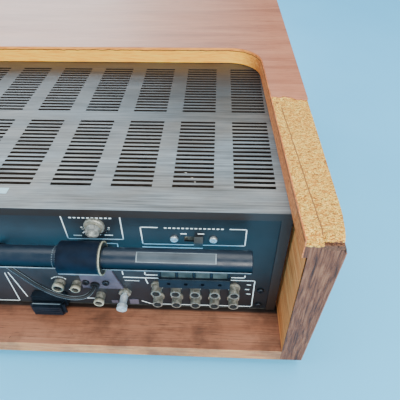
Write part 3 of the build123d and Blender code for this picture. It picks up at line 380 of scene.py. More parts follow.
def board_by_place():
    """Side and top boards: raw flakes where the skin is gone, dark open joint, stained faces."""
    look = Look("cabinet boards", (0.7, 0.5, 0.28), 0.7)
    x, y, z = (look.axis(name) for name in "XYZ")

    # Colours of the bare flakes, the stained faces and the stained ends.
    fine = look.noise(1.1, (0.6, 1, 1), 4, 0.75)
    grain = look.mix(0.6, look.cells(1.0, (0.5, 1, 1)), fine)
    raw = look.ramp(
        grain,
        (0.3, (0.36, 0.11, 0.01)),
        (0.4, (0.66, 0.27, 0.025)),
        (0.52, (0.84, 0.44, 0.055)),
        (0.68, (0.95, 0.64, 0.14)),
    )
    fleck = look.ramp(look.noise(1.9, (0.5, 1, 1), 3, 0.75), (0.42, 0.06), (0.49, 1.0))
    raw = look.mix(0.92, raw, fleck, "MULTIPLY")
    streaks = look.noise(0.7, (1, 1 / 40, 1), 4, 0.62, 0.3)
    faces = look.shades(streaks, 0.16, (0.55, 0.12, 0.02), (0.86, 0.27, 0.06), (0.98, 0.42, 0.13))
    streaks = look.noise(0.55, (1, 1, 1 / 12), 4, 0.65, 0.4)
    ends = look.shades(streaks, 0.16, (0.03, 0.008, 0.003), (0.13, 0.042, 0.017), (0.24, 0.1, 0.048))
    on_rear = look.above(y, CABINET_HIGH.y - STAIN)
    on_front = look.below(y, CABINET_LOW.y + STAIN)
    tone = look.mix(look.math("MAXIMUM", on_rear, on_front), faces, ends)

    # The arm's bare top and broken end, and painted shade over dark brown wood in the recess under its
    # outer corner.
    ragged = look.wander(0.4, 4, 3.0)
    height = look.plus(z, ragged)
    on_arm = look.times(look.above(y, CHIP_Y - 3.0), look.below(x, ARM_X))
    bare = look.times(look.above(height, BOARD_TOP - 1.6), on_arm)
    tone = look.mix(bare, tone, raw)
    at_end = look.times(look.above(y, CABINET_HIGH.y - 9.0), on_arm)
    tone = look.mix(look.times(look.above(height, BREAK_Z + 2.6), at_end), tone, raw)
    outer = look.below(look.plus(x, ragged), CORNER_X + 2.0)
    deep = look.times(look.below(height, BOARD_TOP - 2.6), look.above(height, BREAK_Z))
    # Painted shade: near black to dark brown in the recess under the corner.
    hollow_shade = look.ramp(fine, (0.35, (0.02, 0.007, 0.003)), (0.62, (0.2, 0.075, 0.03)))
    tone = look.mix(look.times(outer, deep, at_end), tone, hollow_shade)

    # The open joint, which runs slightly askew behind its start, and the nail hole.
    joint_x, slant, start, width = -229.3, 0.0614, 80.0, 0.42
    skew = look.times(look.minus(y, start + 10.0), slant)
    skew = look.plus(skew, look.wander(0.12, 4, 1.2))
    offset = look.plus(look.minus(x, joint_x), skew)
    joint = look.times(look.below(look.math("ABSOLUTE", offset), width), look.above(y, start))
    nail = look.below(look.distance("XY", NAIL), 1.304)
    gap = look.times(look.math("MAXIMUM", joint, nail), bare)
    look.colour(look.mix(gap, tone, (0.22, 0.085, 0.02)))
    look.rough(look.shades(fine, 0.2, 0.9, 0.6))
    look.bump(look.minus(grain, gap), 0.5, 0.7)
    return look


def painted(name, dark, light, roughness, grit=0.03):
    """Sprayed metal: faint mottling and the orange-peel of paint."""
    look = Look(name, light, roughness)
    look.colour(look.shades(look.noise(0.06, detail=4), 0.15, dark, light))
    look.rough(look.shades(look.noise(0.09), 0.2, roughness + 0.08, roughness))
    look.bump(look.noise(2.5, detail=2), grit, 0.5)
    return look


def panel_paint():
    """Rear panel: blue-black satin paint, with a painted reflection of the sky, paler away from the
    jacks.
    """
    look = painted("panel paint", (0.0028, 0.0045, 0.0065), (0.006, 0.0088, 0.0125), 0.38)
    # Painted reflection of the sky: a paler blue-grey growing towards +X.
    painted_sky_reflection = look.ramp(look.across("X", -230.0, 460.0), (0.05, 0.0), (0.5, 0.5))
    look.colour(look.mix(painted_sky_reflection, look.tone(), (0.034, 0.036, 0.044)))
    return look


def moulded(name, dark, light, roughness, depth=0.03, **sockets):
    """Moulded plastic or rubber: cloudy tone, fine skin texture and rubbed patches."""
    look = Look(name, light, roughness, **sockets)
    look.colour(look.shades(look.noise(0.12, detail=5), 0.15, dark, light))
    rubbed = look.noise(0.25, detail=4, rough=0.7)
    look.rough(look.ramp(rubbed, (0.35, roughness + 0.15), (0.6, roughness)))
    look.bump(look.noise(3.5, detail=2), depth, 0.35)
    return look


def metal(name, dark, light, roughness, grain=None, metallic=1.0):
    """Plated or brushed metal: tarnish clouds and fine scratches, along an axis if it is brushed."""
    look = Look(name, light, roughness, metallic)
    look.colour(look.ramp(look.noise(0.3, detail=5, rough=0.65), (0.35, dark), (0.6, light)))
    stretch = along(grain, 80) if grain else (1, 1, 1)
    scratches = look.noise(4.0, stretch, 3, 0.7)
    look.rough(look.shades(scratches, 0.2, roughness + 0.16, roughness - 0.05))
    look.bump(scratches, 0.02, 0.5)
    return look


def glass(name, colour):
    look = Look(name, colour, 0.06, Transmission_Weight=0.95, IOR=1.49)
    look.rough(look.ramp(look.noise(0.2, detail=5), (0.4, 0.05), (0.75, 0.16)))
    return look


def bar_plastic():
    """Navy tube: a sheen along its upper half that dies away below, and painted shade that turns its
    lower part near black.
    """
    look = Look("bar plastic", (0.004, 0.011, 0.022), 0.36)
    cloud = look.noise(0.05, (0.2, 1, 1), 4)
    navy = look.shades(cloud, 0.15, (0.002, 0.008, 0.018), (0.005, 0.015, 0.03))
    height = look.across("Z", BAR_LOW.z, 16.0)
    sheen = look.ramp(height, (0.42, 0.0), (0.7, 0.25), (0.95, 0.5))
    look.join(sheen, look.sockets["Specular IOR Level"])
    # Painted shade: the tube's lower part near black.
    upper = look.ramp(height, (0.4, 0.0), (0.75, 1.0))
    look.colour(look.mix(upper, (0.0004, 0.0012, 0.003), navy))
    look.rough(look.shades(look.noise(0.2, detail=5), 0.15, 0.44, 0.3))
    look.bump(look.noise(2.4, detail=3), 0.03, 0.4)
    return look


def ring_plastic():
    """Retaining ring: a pale olive rim round a dark face; the dark is painted shade between the ring
    and the bar.
    """
    look = Look("ring plastic", (0.2, 0.2, 0.14), 0.45)
    outer = look.above(look.distance("YZ", BAR_CENTRE), 11.0)
    rim = look.times(outer, look.below(look.axis("X"), RING_LOW.x + 0.75))
    cloud = look.noise(0.4, detail=4)
    # Painted shade: all but the outer edge at the ring's -X end is near black.
    face = look.shades(cloud, 0.15, (0.008, 0.011, 0.009), (0.022, 0.026, 0.02))
    edge = look.shades(cloud, 0.15, (0.24, 0.24, 0.17), (0.42, 0.42, 0.31))
    look.colour(look.mix(rim, face, edge))
    look.rough(look.shades(cloud, 0.2, 0.55, 0.4))
    look.bump(look.noise(3.0, detail=2), 0.03, 0.4)
    return look


def jack_metal():
    """Plated barrels: dull grey-khaki, cloudier along the barrel than on the mouth's edge."""
    look = Look("jack metal", (0.4, 0.4, 0.36), 0.35, 0.55)
    cloud = look.noise(0.35, detail=5, rough=0.65)
    barrel = look.shades(cloud, 0.15, (0.17, 0.17, 0.14), (0.46, 0.46, 0.4))
    mouth = look.shades(cloud, 0.15, (0.2, 0.2, 0.17), (0.46, 0.46, 0.41))
    look.colour(look.mix(look.above(look.axis("Y"), PANEL_Y + 8.3), barrel, mouth))
    scratches = look.noise(4.0, along("y", 12), 3, 0.7)
    look.rough(look.shades(scratches, 0.2, 0.5, 0.28))
    look.bump(scratches, 0.02, 0.5)
    return look


def screws_by_place():
    """Blackened panel screws low on the panel, bright plated ones at the switch."""
    look = Look("rear screws", (0.3, 0.3, 0.3), 0.4, 0.8)
    cloud = look.noise(0.5, detail=5, rough=0.65)
    dark = look.shades(cloud, 0.15, (0.012, 0.016, 0.022), (0.04, 0.048, 0.058))
    bright = look.shades(cloud, 0.15, (0.45, 0.5, 0.52), (0.8, 0.85, 0.86))
    look.colour(look.mix(look.above(look.axis("Z"), 100.0), dark, bright))
    look.rough(look.shades(cloud, 0.2, 0.5, 0.34))
    look.bump(look.noise(4.0, detail=3), 0.02, 0.5)
    return look


def by_name(*looks):
    return {look.material.name.replace(" ", "_"): look.material for look in looks}


LOOKS = by_name(
    veneer_with_painted_sheen(),
    wood("side veneer", "y", (0.22, 0.065, 0.03), (0.34, 0.12, 0.06), (0.44, 0.18, 0.1), 0.45),
    stained_base(),
    metal("inner steel", (0.02, 0.02, 0.018), (0.06, 0.06, 0.055), 0.5, None, 0.4),
    split_strip(),
    board_by_place(),
    cover_vinyl(),
    panel_paint(),
    painted("bracket paint", (0.05, 0.048, 0.07), (0.1, 0.09, 0.125), 0.45),
    painted("core paint", (0.02, 0.02, 0.02), (0.06, 0.06, 0.06), 0.4),
    painted("pointer paint", (0.5, 0.05, 0.02), (0.75, 0.1, 0.04), 0.5),
    moulded("foot rubber", (0.012, 0.012, 0.012), (0.03, 0.03, 0.03), 0.75, 0.1),
    moulded(
        "lead rubber", (0.003, 0.005, 0.007), (0.01, 0.013, 0.016), 0.5, Specular_IOR_Level=0.3
    ),
    moulded(
        "black plastic", (0.002, 0.006, 0.012), (0.005, 0.012, 0.022), 0.42, Specular_IOR_Level=0.3
    ),
    metal("trimmer cup", (0.2, 0.22, 0.215), (0.6, 0.64, 0.63), 0.35, None, 0.6),
    painted("scale print", (0.55, 0.68, 0.66), (0.75, 0.88, 0.84), 0.5, 0.01),
    painted("meter card", (0.6, 0.62, 0.54), (0.78, 0.8, 0.72), 0.6, 0.02),
    # Grey-blue: the sleeve's stitches, and the painted highlight on the terminal block's shelf edge.
    moulded("stitches_and_highlight", (0.05, 0.08, 0.1), (0.1, 0.14, 0.17), 0.5),
    moulded("jack insulator", (0.002, 0.003, 0.004), (0.005, 0.006, 0.008), 0.75),
    moulded("slider plastic", (0.04, 0.05, 0.055), (0.1, 0.115, 0.12), 0.4),
    bar_plastic(),
    moulded(
        "sleeve plastic", (0.0008, 0.004, 0.011), (0.002, 0.008, 0.02), 0.5, Specular_IOR_Level=0.1
    ),
    ring_plastic(),
    moulded("cream cap", (0.2, 0.19, 0.14), (0.5, 0.5, 0.4), 0.5),
    moulded("lever plastic", (0.014, 0.02, 0.018), (0.055, 0.068, 0.062), 0.45, 0.15),
    moulded("dial black", (0.008, 0.01, 0.014), (0.02, 0.024, 0.03), 0.6),
    moulded("capacitor sleeve", (0.004, 0.008, 0.04), (0.012, 0.02, 0.07), 0.45),
    moulded("board resin", (0.03, 0.018, 0.008), (0.06, 0.035, 0.016), 0.6),
    painted("panel print", (0.6, 0.72, 0.76), (0.85, 0.95, 0.98), 0.5, 0.01),
    # Pale grey-blue: the label's border, and painted highlights on the lead, the bar's and sleeve's
    # seams and the link plug's edge.
    moulded("moulding seam", (0.13, 0.18, 0.21), (0.24, 0.3, 0.34), 0.4),
    painted("label paper", (0.018, 0.03, 0.042), (0.04, 0.06, 0.078), 0.45, 0.02),
    painted("sticker", (0.3, 0.48, 0.56), (0.42, 0.6, 0.68), 0.45, 0.02),
    metal("bare steel", (0.5, 0.45, 0.38), (0.75, 0.7, 0.62), 0.5),
    metal("heatsink black", (0.015, 0.015, 0.016), (0.05, 0.05, 0.055), 0.45, "z", 0.6),
    metal("zinc screw", (0.4, 0.4, 0.38), (0.66, 0.65, 0.62), 0.32),
    metal("plated steel", (0.36, 0.36, 0.33), (0.58, 0.58, 0.54), 0.4),
    jack_metal(),
    metal("ground screw", (0.5, 0.62, 0.7), (0.85, 0.95, 1.0), 0.3, None, 0.6),
    screws_by_place(),
    metal("face aluminium", (0.3, 0.29, 0.27), (0.42, 0.41, 0.39), 0.36, "x"),
    metal("knob aluminium", (0.4, 0.39, 0.37), (0.6, 0.59, 0.57), 0.28),
    metal("copper winding", (0.1, 0.035, 0.012), (0.2, 0.08, 0.03), 0.45, "x", 0.6),
    glass("dial glass", (0.85, 0.92, 0.95)),
)

# The CAD nodes that wear each look. Knobs and buttons are found by name.
WORN_BY = {
    "cabinet_boards": "cabinet_side_left",
    "base_board": "cabinet_bottom",
    "walnut_veneer": "top_veneer",
    "side_veneer": "side_veneers",
    "split_edge_strip": "cutout_edge_band",
    "foot_rubber": "feet",
    "zinc_screw": "cabinet_fasteners pivot_pin",
    "inner_steel": "chassis_pan tuning_flywheel control_pots coil_cans gang_frame gang_rotor",
    "cover_vinyl": "top_cover",
    "panel_paint": "rear_panel",
    "rear_screws": "rear_screws",
    "jack_metal": "phono_jacks muting_pot ground_post phone_jack",
    "trimmer_cup": "muting_shaft",
    "plated_steel": "attenuator_switch",
    "slider_plastic": "attenuator_slider",
    "black_plastic": "terminal_block link_socket speaker_terminals ac_outlets fuse_and_gland",
    "ground_screw": "ground_screw",
    "lead_rubber": "lead_grommets",
    "bracket_paint": "antenna_bracket",
    "sleeve_plastic": "antenna_sleeve",
    "ring_plastic": "antenna_ring",
    "bar_plastic": "ferrite_bar",
    "lever_plastic": "antenna_lever_1 antenna_lever_2 antenna_lever_3 antenna_lever_4",
    "face_aluminium": "front_panel",
    "dial_glass": "dial_glass",
    "dial_black": "dial_plate meter_housing",
    "pointer_paint": "dial_pointer meter_needle",
    "core_paint": "transformer_core",
    "copper_winding": "transformer_coil",
    "capacitor_sleeve": "filter_capacitors",
    "heatsink_black": "heatsink",
    "board_resin": "circuit_boards",
    "knob_aluminium": " ".join(name for name in NODES if name.endswith(("_knob", "_button"))),
}


def paint(node, look):
    """Gives every material slot of a CAD node one look."""
    if not node.data.materials:
        node.data.materials.append(LOOKS[look])
    for slot in node.material_slots:
        slot.material = LOOKS[look]


# ---- Pieces ----
def add_floor():
    grid = bmesh.new()
    bmesh.ops.create_grid(grid, x_segments=2, y_segments=2, size=3.0)
    data = bpy.data.meshes.new("floor")
    grid.to_mesh(data)
    grid.free()
    look = Look("floor", (0.12, 0.6, 0.98), 0.7)
    look.colour(look.shades(look.noise(0.004), 0.2, (0.11, 0.56, 0.94), (0.13, 0.62, 1.0)))
    data.materials.append(look.material)
    show("floor", data)


# Places of repeated details on the connector panel, as x or (x, z).
JACK_X = [-190.9 + 15.9 * column for column in range(5)]
TRIMMER = (-88.0, 126.3)
# Single jacks: x, z, radius and reach.
SINGLE_JACKS = ((-45.1, 55.5, 4.7, 6.5), (-59.7, 55.1, 3.9, 7.0), (-77, 39.3, 4.15, 9))

# Antenna lead: its route, from the panel grommet to the bracket grommet.
LEAD_DIAMETER = 3.6
LEAD_ROUTE = [
    (-10, 193.4, 100), (-11, 199.5, 99.7), (-15.5, 203.8, 97), (-22, 205.5, 91),
    (-29, 206.3, 82), (-36.5, 206.7, 71.5), (-47, 206.8, 61.5), (-58.5, 206.2, 55.2),
    (-69, 204.8, 54.3), (-74.2, 200.5, 55.2), (-75.5, 194.9, 56),
]


def add_lead():
    data = bpy.data.curves.new("antenna_lead_cord", "CURVE")
    data.dimensions = "3D"
    spline = data.splines.new("NURBS")
    spline.points.add(len(LEAD_ROUTE) - 1)
    for point, place in zip(spline.points, LEAD_ROUTE):
        point.co = (*(Vector(place) * MM), 1)
    spline.order_u = 3
    spline.use_endpoint_u = True
    spline.resolution_u = 16
    data.bevel_depth = LEAD_DIAMETER / 2 * MM
    data.bevel_resolution = 5
    data.materials.append(LOOKS["lead_rubber"])
    lead = show("antenna_lead_cord", data)
    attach(lead, "receiver")
    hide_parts("antenna_lead")
    return lead


def put(name, work, look, body="receiver", smooth=False):
    """Turns a bmesh in millimetres into a piece that rides on a body."""
    bmesh.ops.scale(work, vec=(MM, MM, MM), verts=work.verts)
    bmesh.ops.recalc_face_normals(work, faces=work.faces)
    data = bpy.data.meshes.new(name)
    work.to_mesh(data)
    work.free()
    for face in data.polygons:
        face.use_smooth = smooth
    data.materials.append(LOOKS[look])
    item = show(name, data)
    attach(item, body)
    return item


def slab(work, low, high, bevel):
    """Adds a box with softened edges between two corners."""
    size = [b - a for a, b in zip(low, high)]
    middle = [(a + b) / 2 for a, b in zip(low, high)]
    matrix = Matrix.Translation(middle) @ Matrix.Diagonal((*size, 1))
    made = bmesh.ops.create_cube(work, size=1, matrix=matrix)
    edges = list({edge for vert in made["verts"] for edge in vert.link_edges})
    bmesh.ops.bevel(work, geom=edges, offset=bevel, segments=2, affect="EDGES")


def blocks(name, look, *boxes):
    """A piece made of softened boxes, from the low corner, high corner and bevel of each."""
    work = bmesh.new()
    for box in boxes:
        slab(work, *box)
    return put(name, work, look)


def ribbon(work, points, width, face=PANEL_Y, rise=0.05):
    """Adds a printed line through (x, z) points, on the connector panel or another face."""
    for start, end in zip(points, points[1:]):
        run = Vector(end) - Vector(start)
        side = Vector((-run.y, run.x)).normalized() * width / 2
        reach = run.normalized() * width / 2
        flat = [Vector(start) - reach + side, Vector(start) - reach - side]
        flat += [Vector(end) + reach - side, Vector(end) + reach + side]
        lower = [work.verts.new((p.x, face + 0.01, p.y)) for p in flat]
        upper = [work.verts.new((p.x, face + rise, p.y)) for p in flat]
        work.faces.new(upper)
        skin(work, [lower, upper], True)


def spoke(centre, degrees, radii):
    """Points (x, z) at several distances from a centre, at an angle from +X."""
    angle = math.radians(degrees)
    return [(centre[0] + r * math.cos(angle), centre[1] + r * math.sin(angle)) for r in radii]


def arc(centre, radius, start, end, count=14):
    """Points (x, z) of an arc, with angles in degrees from +X."""
    turn = (end - start) / count
    return [spoke(centre, start + turn * k, [radius])[0] for k in range(count + 1)]


def disc(node):
    """Middle (x, z) and radius of a round node that faces along Y."""
    low, high = low_high(node)
    return ((low.x + high.x) / 2, (low.z + high.z) / 2), (high.x - low.x) / 2


def skin(work, rows, round_rows):
    """Adds faces from each row of vertices to the next; round rows close on themselves."""
    start = -1 if round_rows else 0
    for row, following in zip(rows, rows[1:]):
        for index in range(start, len(row) - 1):
            after = index + 1
            work.faces.new((row[index], row[after], following[after], following[index]))


def lathe(work, centre, profile, count=28):
    """Adds a ring turned about an axis along Y, from (y, radius) points of its section."""
    depths, radii = zip(*profile)
    rows = []
    for step in range(count):
        spots = spoke(centre, 360 * step / count, radii)
        rows.append([work.verts.new((x, y, z)) for y, (x, z) in zip(depths, spots)])
    skin(work, rows + rows[:1], True)


def headings(points):
    """The direction of a path at each of its points."""
    ahead, behind = points[1:] + points[-1:], points[:1] + points[:-1]
    return [(after - before).normalized() for after, before in zip(ahead, behind)]


def tube_along(work, points, radius, sides=6):
    """Adds a thin closed tube through a list of points."""
    rings = []
    for point, run in zip(points, headings(points)):
        side = run.cross(Vector((0, 0.6, 0.8))).normalized()
        up = run.cross(side)
        angles = [2 * math.pi * step / sides for step in range(sides)]
        offsets = [side * math.cos(angle) + up * math.sin(angle) for angle in angles]
        rings.append([work.verts.new(point + offset * radius) for offset in offsets])
    skin(work, rings, True)
    work.faces.new(rings[0])
    work.faces.new(rings[-1])


def add_lead_highlight_lines(lead):
    """Two thin pale ridges along the lead, read from its own spline: painted highlights on the rubber.
    """
    bare = lead.data.copy()
    bare.bevel_depth = 0
    path = bpy.data.objects.new("path", bare)
    sampled = bpy.data.meshes.new_from_object(path)
    points = [vert.co.copy() / MM for vert in sampled.vertices]
    bpy.data.objects.remove(path)
    bpy.data.meshes.remove(sampled)
    bpy.data.curves.remove(bare)
    work = bmesh.new()
    radius = LEAD_DIAMETER / 2
    outward = Vector((0, 0.73, 0.68))
    for sign in (-1, 1):
        line = []
        for point, run in zip(points, headings(points)):
            side = run.cross(outward).normalized()
            line.append(point + side * sign * radius * 0.8 + outward * radius * 0.58)
        tube_along(work, line, 0.16)
    put("lead_tracer", work, "moulding_seam", smooth=True)


def rough_copy(name, node, look, cuts, push):
    """Replaces a board by its own mesh, cut finely where it is broken and pushed into relief.

    cuts holds (axis, places, test): planes across an axis that cut only the faces near them
    whose middle passes the test. push gives each point its new place.
    """
    work = bmesh.new()
    work.from_mesh(NODES[node].data)
    bmesh.ops.scale(work, vec=(1 / MM,) * 3, verts=work.verts)
    for axis, places, test in cuts:
        for place in places:
            plane = [int(k == axis) for k in range(3)]
            faces = [
                face
                for face in work.faces
                if min(v.co[axis] for v in face.verts) < place - 1e-4
                and max(v.co[axis] for v in face.verts) > place + 1e-4
                and test(face)
            ]
            edges = list({edge for face in faces for edge in face.edges})
            verts = list({vert for face in faces for vert in face.verts})
            bmesh.ops.bisect_plane(
                work,
                geom=faces + edges + verts,
                dist=1e-4,
                plane_co=[place * part for part in plane],
                plane_no=plane,
            )
    for vert in work.verts:
        vert.co = push(vert.co.copy())
    piece = put(name, work, look)
    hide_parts(node)


def steps(start, end, step):
    """Even places from start to end, about a step apart."""
    count = max(1, round((end - start) / step))
    return [start + (end - start) * k / count for k in range(count + 1)]


def ripple(seed, *waves):
    """A repeatable smooth wander: a sum of sines with (length in mm, height in mm)."""
    chance = random.Random(seed)
    phases = [chance.uniform(0, 6.28) for _ in waves]

    def value(place):
        parts = zip(waves, phases)
        return sum(tall * math.sin(place * 6.28 / long + phase) for (long, tall), phase in parts)

    return value


RAGGED_FRONT = ripple(3, (19.0, 0.9), (7.3, 0.6), (3.1, 0.35))
FLAKE_X = ripple(5, (4.1, 0.3), (9.7, 0.3), (2.3, 0.15))
FLAKE_Y = ripple(8, (5.3, 0.3), (13.0, 0.3), (2.7, 0.15))
REAR_BREAK = ripple(13, (9.0, 1.2), (4.3, 0.8), (23.0, 1.0))


def broken_surface(place):
    """Lowers the bare board's skin: flaked relief, the rough rear end and its worn corner."""
    x, y, z = place
    if x > ARM_X:
        return place
    if z > BOARD_TOP - 0.5 and y > CHIP_Y:
        sink = 0.35 + 0.3 * (FLAKE_X(x + 0.7 * y) + FLAKE_Y(y - 0.4 * x))
        place.z -= max(0.05, sink)
    rear = CABINET_HIGH.y
    if x > CORNER_X + 1:
        edge, floor = rear - 8.0 + REAR_BREAK(x), 154.4
    else:
        edge, floor = rear - 3.2 + 0.4 * REAR_BREAK(x), 155.0
    if z > floor and y > edge:
        depth = (y - edge) / max(rear - edge, 0.1)
        drop = (z - floor) * min(1.0, depth**0.7)
        place.z -= drop * (0.75 + 0.1 * REAR_BREAK(3 * x + y))
        if y > rear - 0.2 and z > floor + 2:
            place.y -= 1.0 + 0.5 * abs(REAR_BREAK(2 * x + z))
    wear_x, wear_y, wear_z = -247, 198, 150
    if x < wear_x and y > wear_y - 8 and z > wear_z:
        wear = max(0.0, (y - wear_y) / 32.0)
        place.x += wear * wear * 3.0 * min(1.0, (z - wear_z) / 8.0)
    return place


def add_wood():
    """Boards with their broken rear corner, and the veneer that is chipped and worn there."""
    rear = CABINET_HIGH.y
    over_arm = steps(-252, -217, 1.4)
    broken = [
        (1, steps(CHIP_Y, rear - 12, 3.0) + steps(rear - 12, rear, 1.2), top_face),
        (0, over_arm, lambda f: top_face(f) and middle(f).y > CHIP_Y - 1),
        (2, steps(150, 159, 1.5), lambda f: middle(f).y > rear - 1 and middle(f).x < ARM_X),
        (0, over_arm, lambda f: middle(f).y > rear - 1 and middle(f).z > BREAK_Z - 2),
    ]
    rough_copy("broken_side_board", "cabinet_side_right", "cabinet_boards", broken, broken_surface)
    rough_copy("broken_top_board", "cabinet_top", "cabinet_boards", broken, broken_surface)

    def worn(place):
        start, foot = 214.0, 150.0
        if place.x < CORNER_X and place.z > foot and place.y > start:
            depth = (place.y - start) / (rear - start)
            place.z -= depth**1.5 * (9.0 + REAR_BREAK(place.y)) * (place.z - foot) / 10
            place.x += depth**2 * 1.5
        return place

    corner = [
        (1, steps(213, rear, 1.2), lambda f: middle(f).x < CORNER_X and middle(f).y > 200),
        (2, steps(149, 159, 1.4), lambda f: middle(f).x < CORNER_X and middle(f).y > 212),
    ]
    rough_copy("worn_side_veneers", "side_veneers", "side_veneer", corner, worn)

    def chipped(place):
        if place.x < edge_x and abs(place.y - CHIP_Y) < 5:
            place.y += RAGGED_FRONT(place.x)
        return place

    edge_x = -209.0
    across = [(0, steps(-253, edge_x - 2, 0.8), lambda f: middle(f).x < edge_x)]
    rough_copy("chipped_veneer", "top_veneer", "walnut_veneer", across, chipped)


def middle(face):
    return face.calc_center_median()


def top_face(face):
    return middle(face).z > BOARD_TOP - 0.01 and middle(face).x < ARM_X


def add_panel_print():
    """Frame lines, arcs and plain dashes printed on the connector panel, with no letters."""
    fine, thin, bold = 0.5, 0.85, 1.0
    lines = {
        thin: [
            # Frames of the muting level and the attenuator, open where their titles would be.
            [(-65.3, 134.9), (-65.6, 111.4), (-106.9, 111.9), (-107.4, 134.9)],
            [(-120.8, 125.6), (-120.9, 107.5), (-196.5, 107.8), (-196.7, 125.4)],
            [(-120.8, 125.6), (-133, 125.6)],
            [(-185, 125.4), (-196.7, 125.4)],
            [(-120.5, 104), (-165, 104)],
            [(-91.4, 107), (-101.7, 107), (-101.5, 103.7)],
            # Frame of the phono jacks, and the lines round the terminals above them.
            [(-100.5, 65.2), (-130.2, 65.0)],
            [(-188.5, 65.0), (-207.4, 65.0), (-207.4, 27.5), (-120, 27.0), (-112, 31)],
            [(-118.5, 72.5), (-118.5, 69.2), (-128.2, 69.2)],
            [(-188.6, 68.6), (-199, 68.6), (-199, 71.2)],
            [(-118, 64.6), (-119.5, 57.5)],
            [(-100.3, 72.6), (-100.3, 69)],
            # Lines under the bar, beside the link plug and the single jacks.
            [(-1.5, 66), (-1.5, 26), (17, 26)],
            [(-4.7, 67), (-10.3, 33)],
            [(-28, 79.5), (-50, 78.4)],
            [(-64, 33), (-70, 33)],
            [(-61.5, 100), (-66, 99)],
            arc((-45.1, 55.5), 7.6, 40, 140, 8),
            arc(TRIMMER, 10.2, 205, 255),
            arc(TRIMMER, 10.2, 285, 335),
        ],
        # Dashes in place of words.
        bold: [
            [(-166.0, 119.9), (-162.4, 119.9)],
            [(-78.2, 118.2), (-79.6, 119.6)],
            [(-51, 45.5), (-56, 45.5)],
        ],
        fine: [[(-101, 60.8), (-112.5, 60.6)]],
        0.6: [[(-32, 75.2), (-40, 75.0)]],
        1.1: [],
        1.3: [arc(TRIMMER, 10.2, angle - 4, angle + 4, 2) for angle in (198, 342)],
    }
    for first, last, z in ((-183, -136, 125.3), (-104, -69, 133.8)):
        lines[1.1] += [[(x, z), (x + 0.8, z)] for x in steps(first, last, 3.1)[1:-1]]
    for x, z, reach in ((-73.5, 115.2, 2.6), (-96.7, 116.2, 2.6), (-151.6, 119.6, 1.8)):
        lines[bold].append([(x - reach, z), (x + reach, z)])
    for x, z in ((-203, 59), (-202, 52.5), (-203.5, 46)):
        lines[bold].append([(x - 1.2, z), (x + 1.2, z + 0.4)])
    for x in JACK_X:
        lines[bold].append([(x - 2.4, 47.9), (x + 2.4, 47.9)])
        lines[thin].append([(x - 2.0, 31.8), (x + 2.0, 31.8)])
    for x in (-184.3, -168.4, -152.5):
        lines[thin].append([(x + 1.3, 62.6), (x + 1.3, 61.4)])
    work = bmesh.new()
    for width, runs in lines.items():
        for points in runs:
            ribbon(work, points, width)
    put("panel_print", work, "panel_print")

    # The far half: the speaker terminals' frame, the outlets' frame and the fuse's arc.
    work = bmesh.new()
    for x in range(62, 113, 10):
        ribbon(work, [(x - 2, 85.5), (x + 2, 85.5)], bold)
    ribbon(work, [(38, 55), (38, 86), (126, 86), (126, 55)], thin)
    ribbon(work, [(130, 33), (200, 33), (200, 63), (130, 63), (130, 33)], thin)
    ribbon(work, arc((205, 88), 11, 20, 160), thin)
    put("panel_print_right", work, "panel_print")


def curved_strip(work, ends, radius, angles, thickness, count=14):
    """Adds a strip wrapped on the bar between two ends, over the given angles from +Y up."""
    first, last = ends
    section = ((first, 0.0), (first, thickness), (last, thickness), (last, 0.0))
    rows = [
        [work.verts.new((x, *place)) for place in arc(BAR_CENTRE, radius + lift, *angles, count)]
        for x, lift in section
    ]
    skin(work, rows, False)
    for end in (0, count):
        work.faces.new([row[end] for row in rows])


def add_bar_details():
    """Label strip, pale moulded seams painted as the highlight along the bar's and sleeve's undersides,
    and the sleeve's two rows of stitches.
    """
    radius = (BAR_HIGH.z - BAR_LOW.z) / 2
    sleeve_radius = SLEEVE_HIGH.z - BAR_CENTRE[1]
    label, edges = (-121.5, -175.8), (37, 89)

    def piece(name, look, strips, smooth=False):
        work = bmesh.new()
        for strip in strips:
            curved_strip(work, *strip)
        put(name, work, look, "bar_antenna", smooth)

    piece("bar_label", "label_paper", [(label, radius + 0.02, edges, 0.1)])
    # Pale seams low on the bar and sleeve: moulded ribs whose pale colour is a painted highlight.
    seams = [
        (ends, radius - 0.1, (-46, -16), 0.28, 8)
        for ends in ((45.2, SLEEVE_HIGH.x + 0.1), (-98.2, -199.2))
    ]
    piece("bar_seams", "moulding_seam", seams, True)
    ends = (SLEEVE_LOW.x + 0.3, SLEEVE_HIGH.x - 0.3)
    piece("sleeve_seam", "moulding_seam", [(ends, sleeve_radius - 0.1, (-46, -18), 0.3, 8)], True)
    stitches = [
        ((row - 0.3, row + 0.3), radius - 0.03, (angle, angle + 6), 0.1, 2)
        for row in (SLEEVE_HIGH.x + 1.4, SLEEVE_HIGH.x + 3.6)
        for angle in range(0, 360, 12)
    ]
    piece("sleeve_stitch", "stitches_and_highlight", stitches)
    border = [(label, radius + 0.1, angles, 0.06, 2) for angles in ((37, 39), (87, 89))]
    for end in (-122.0, -175.3):
        border.append(((end - 0.3, end + 0.3), radius + 0.1, edges, 0.06))
    piece("label_border", "moulding_seam", border)


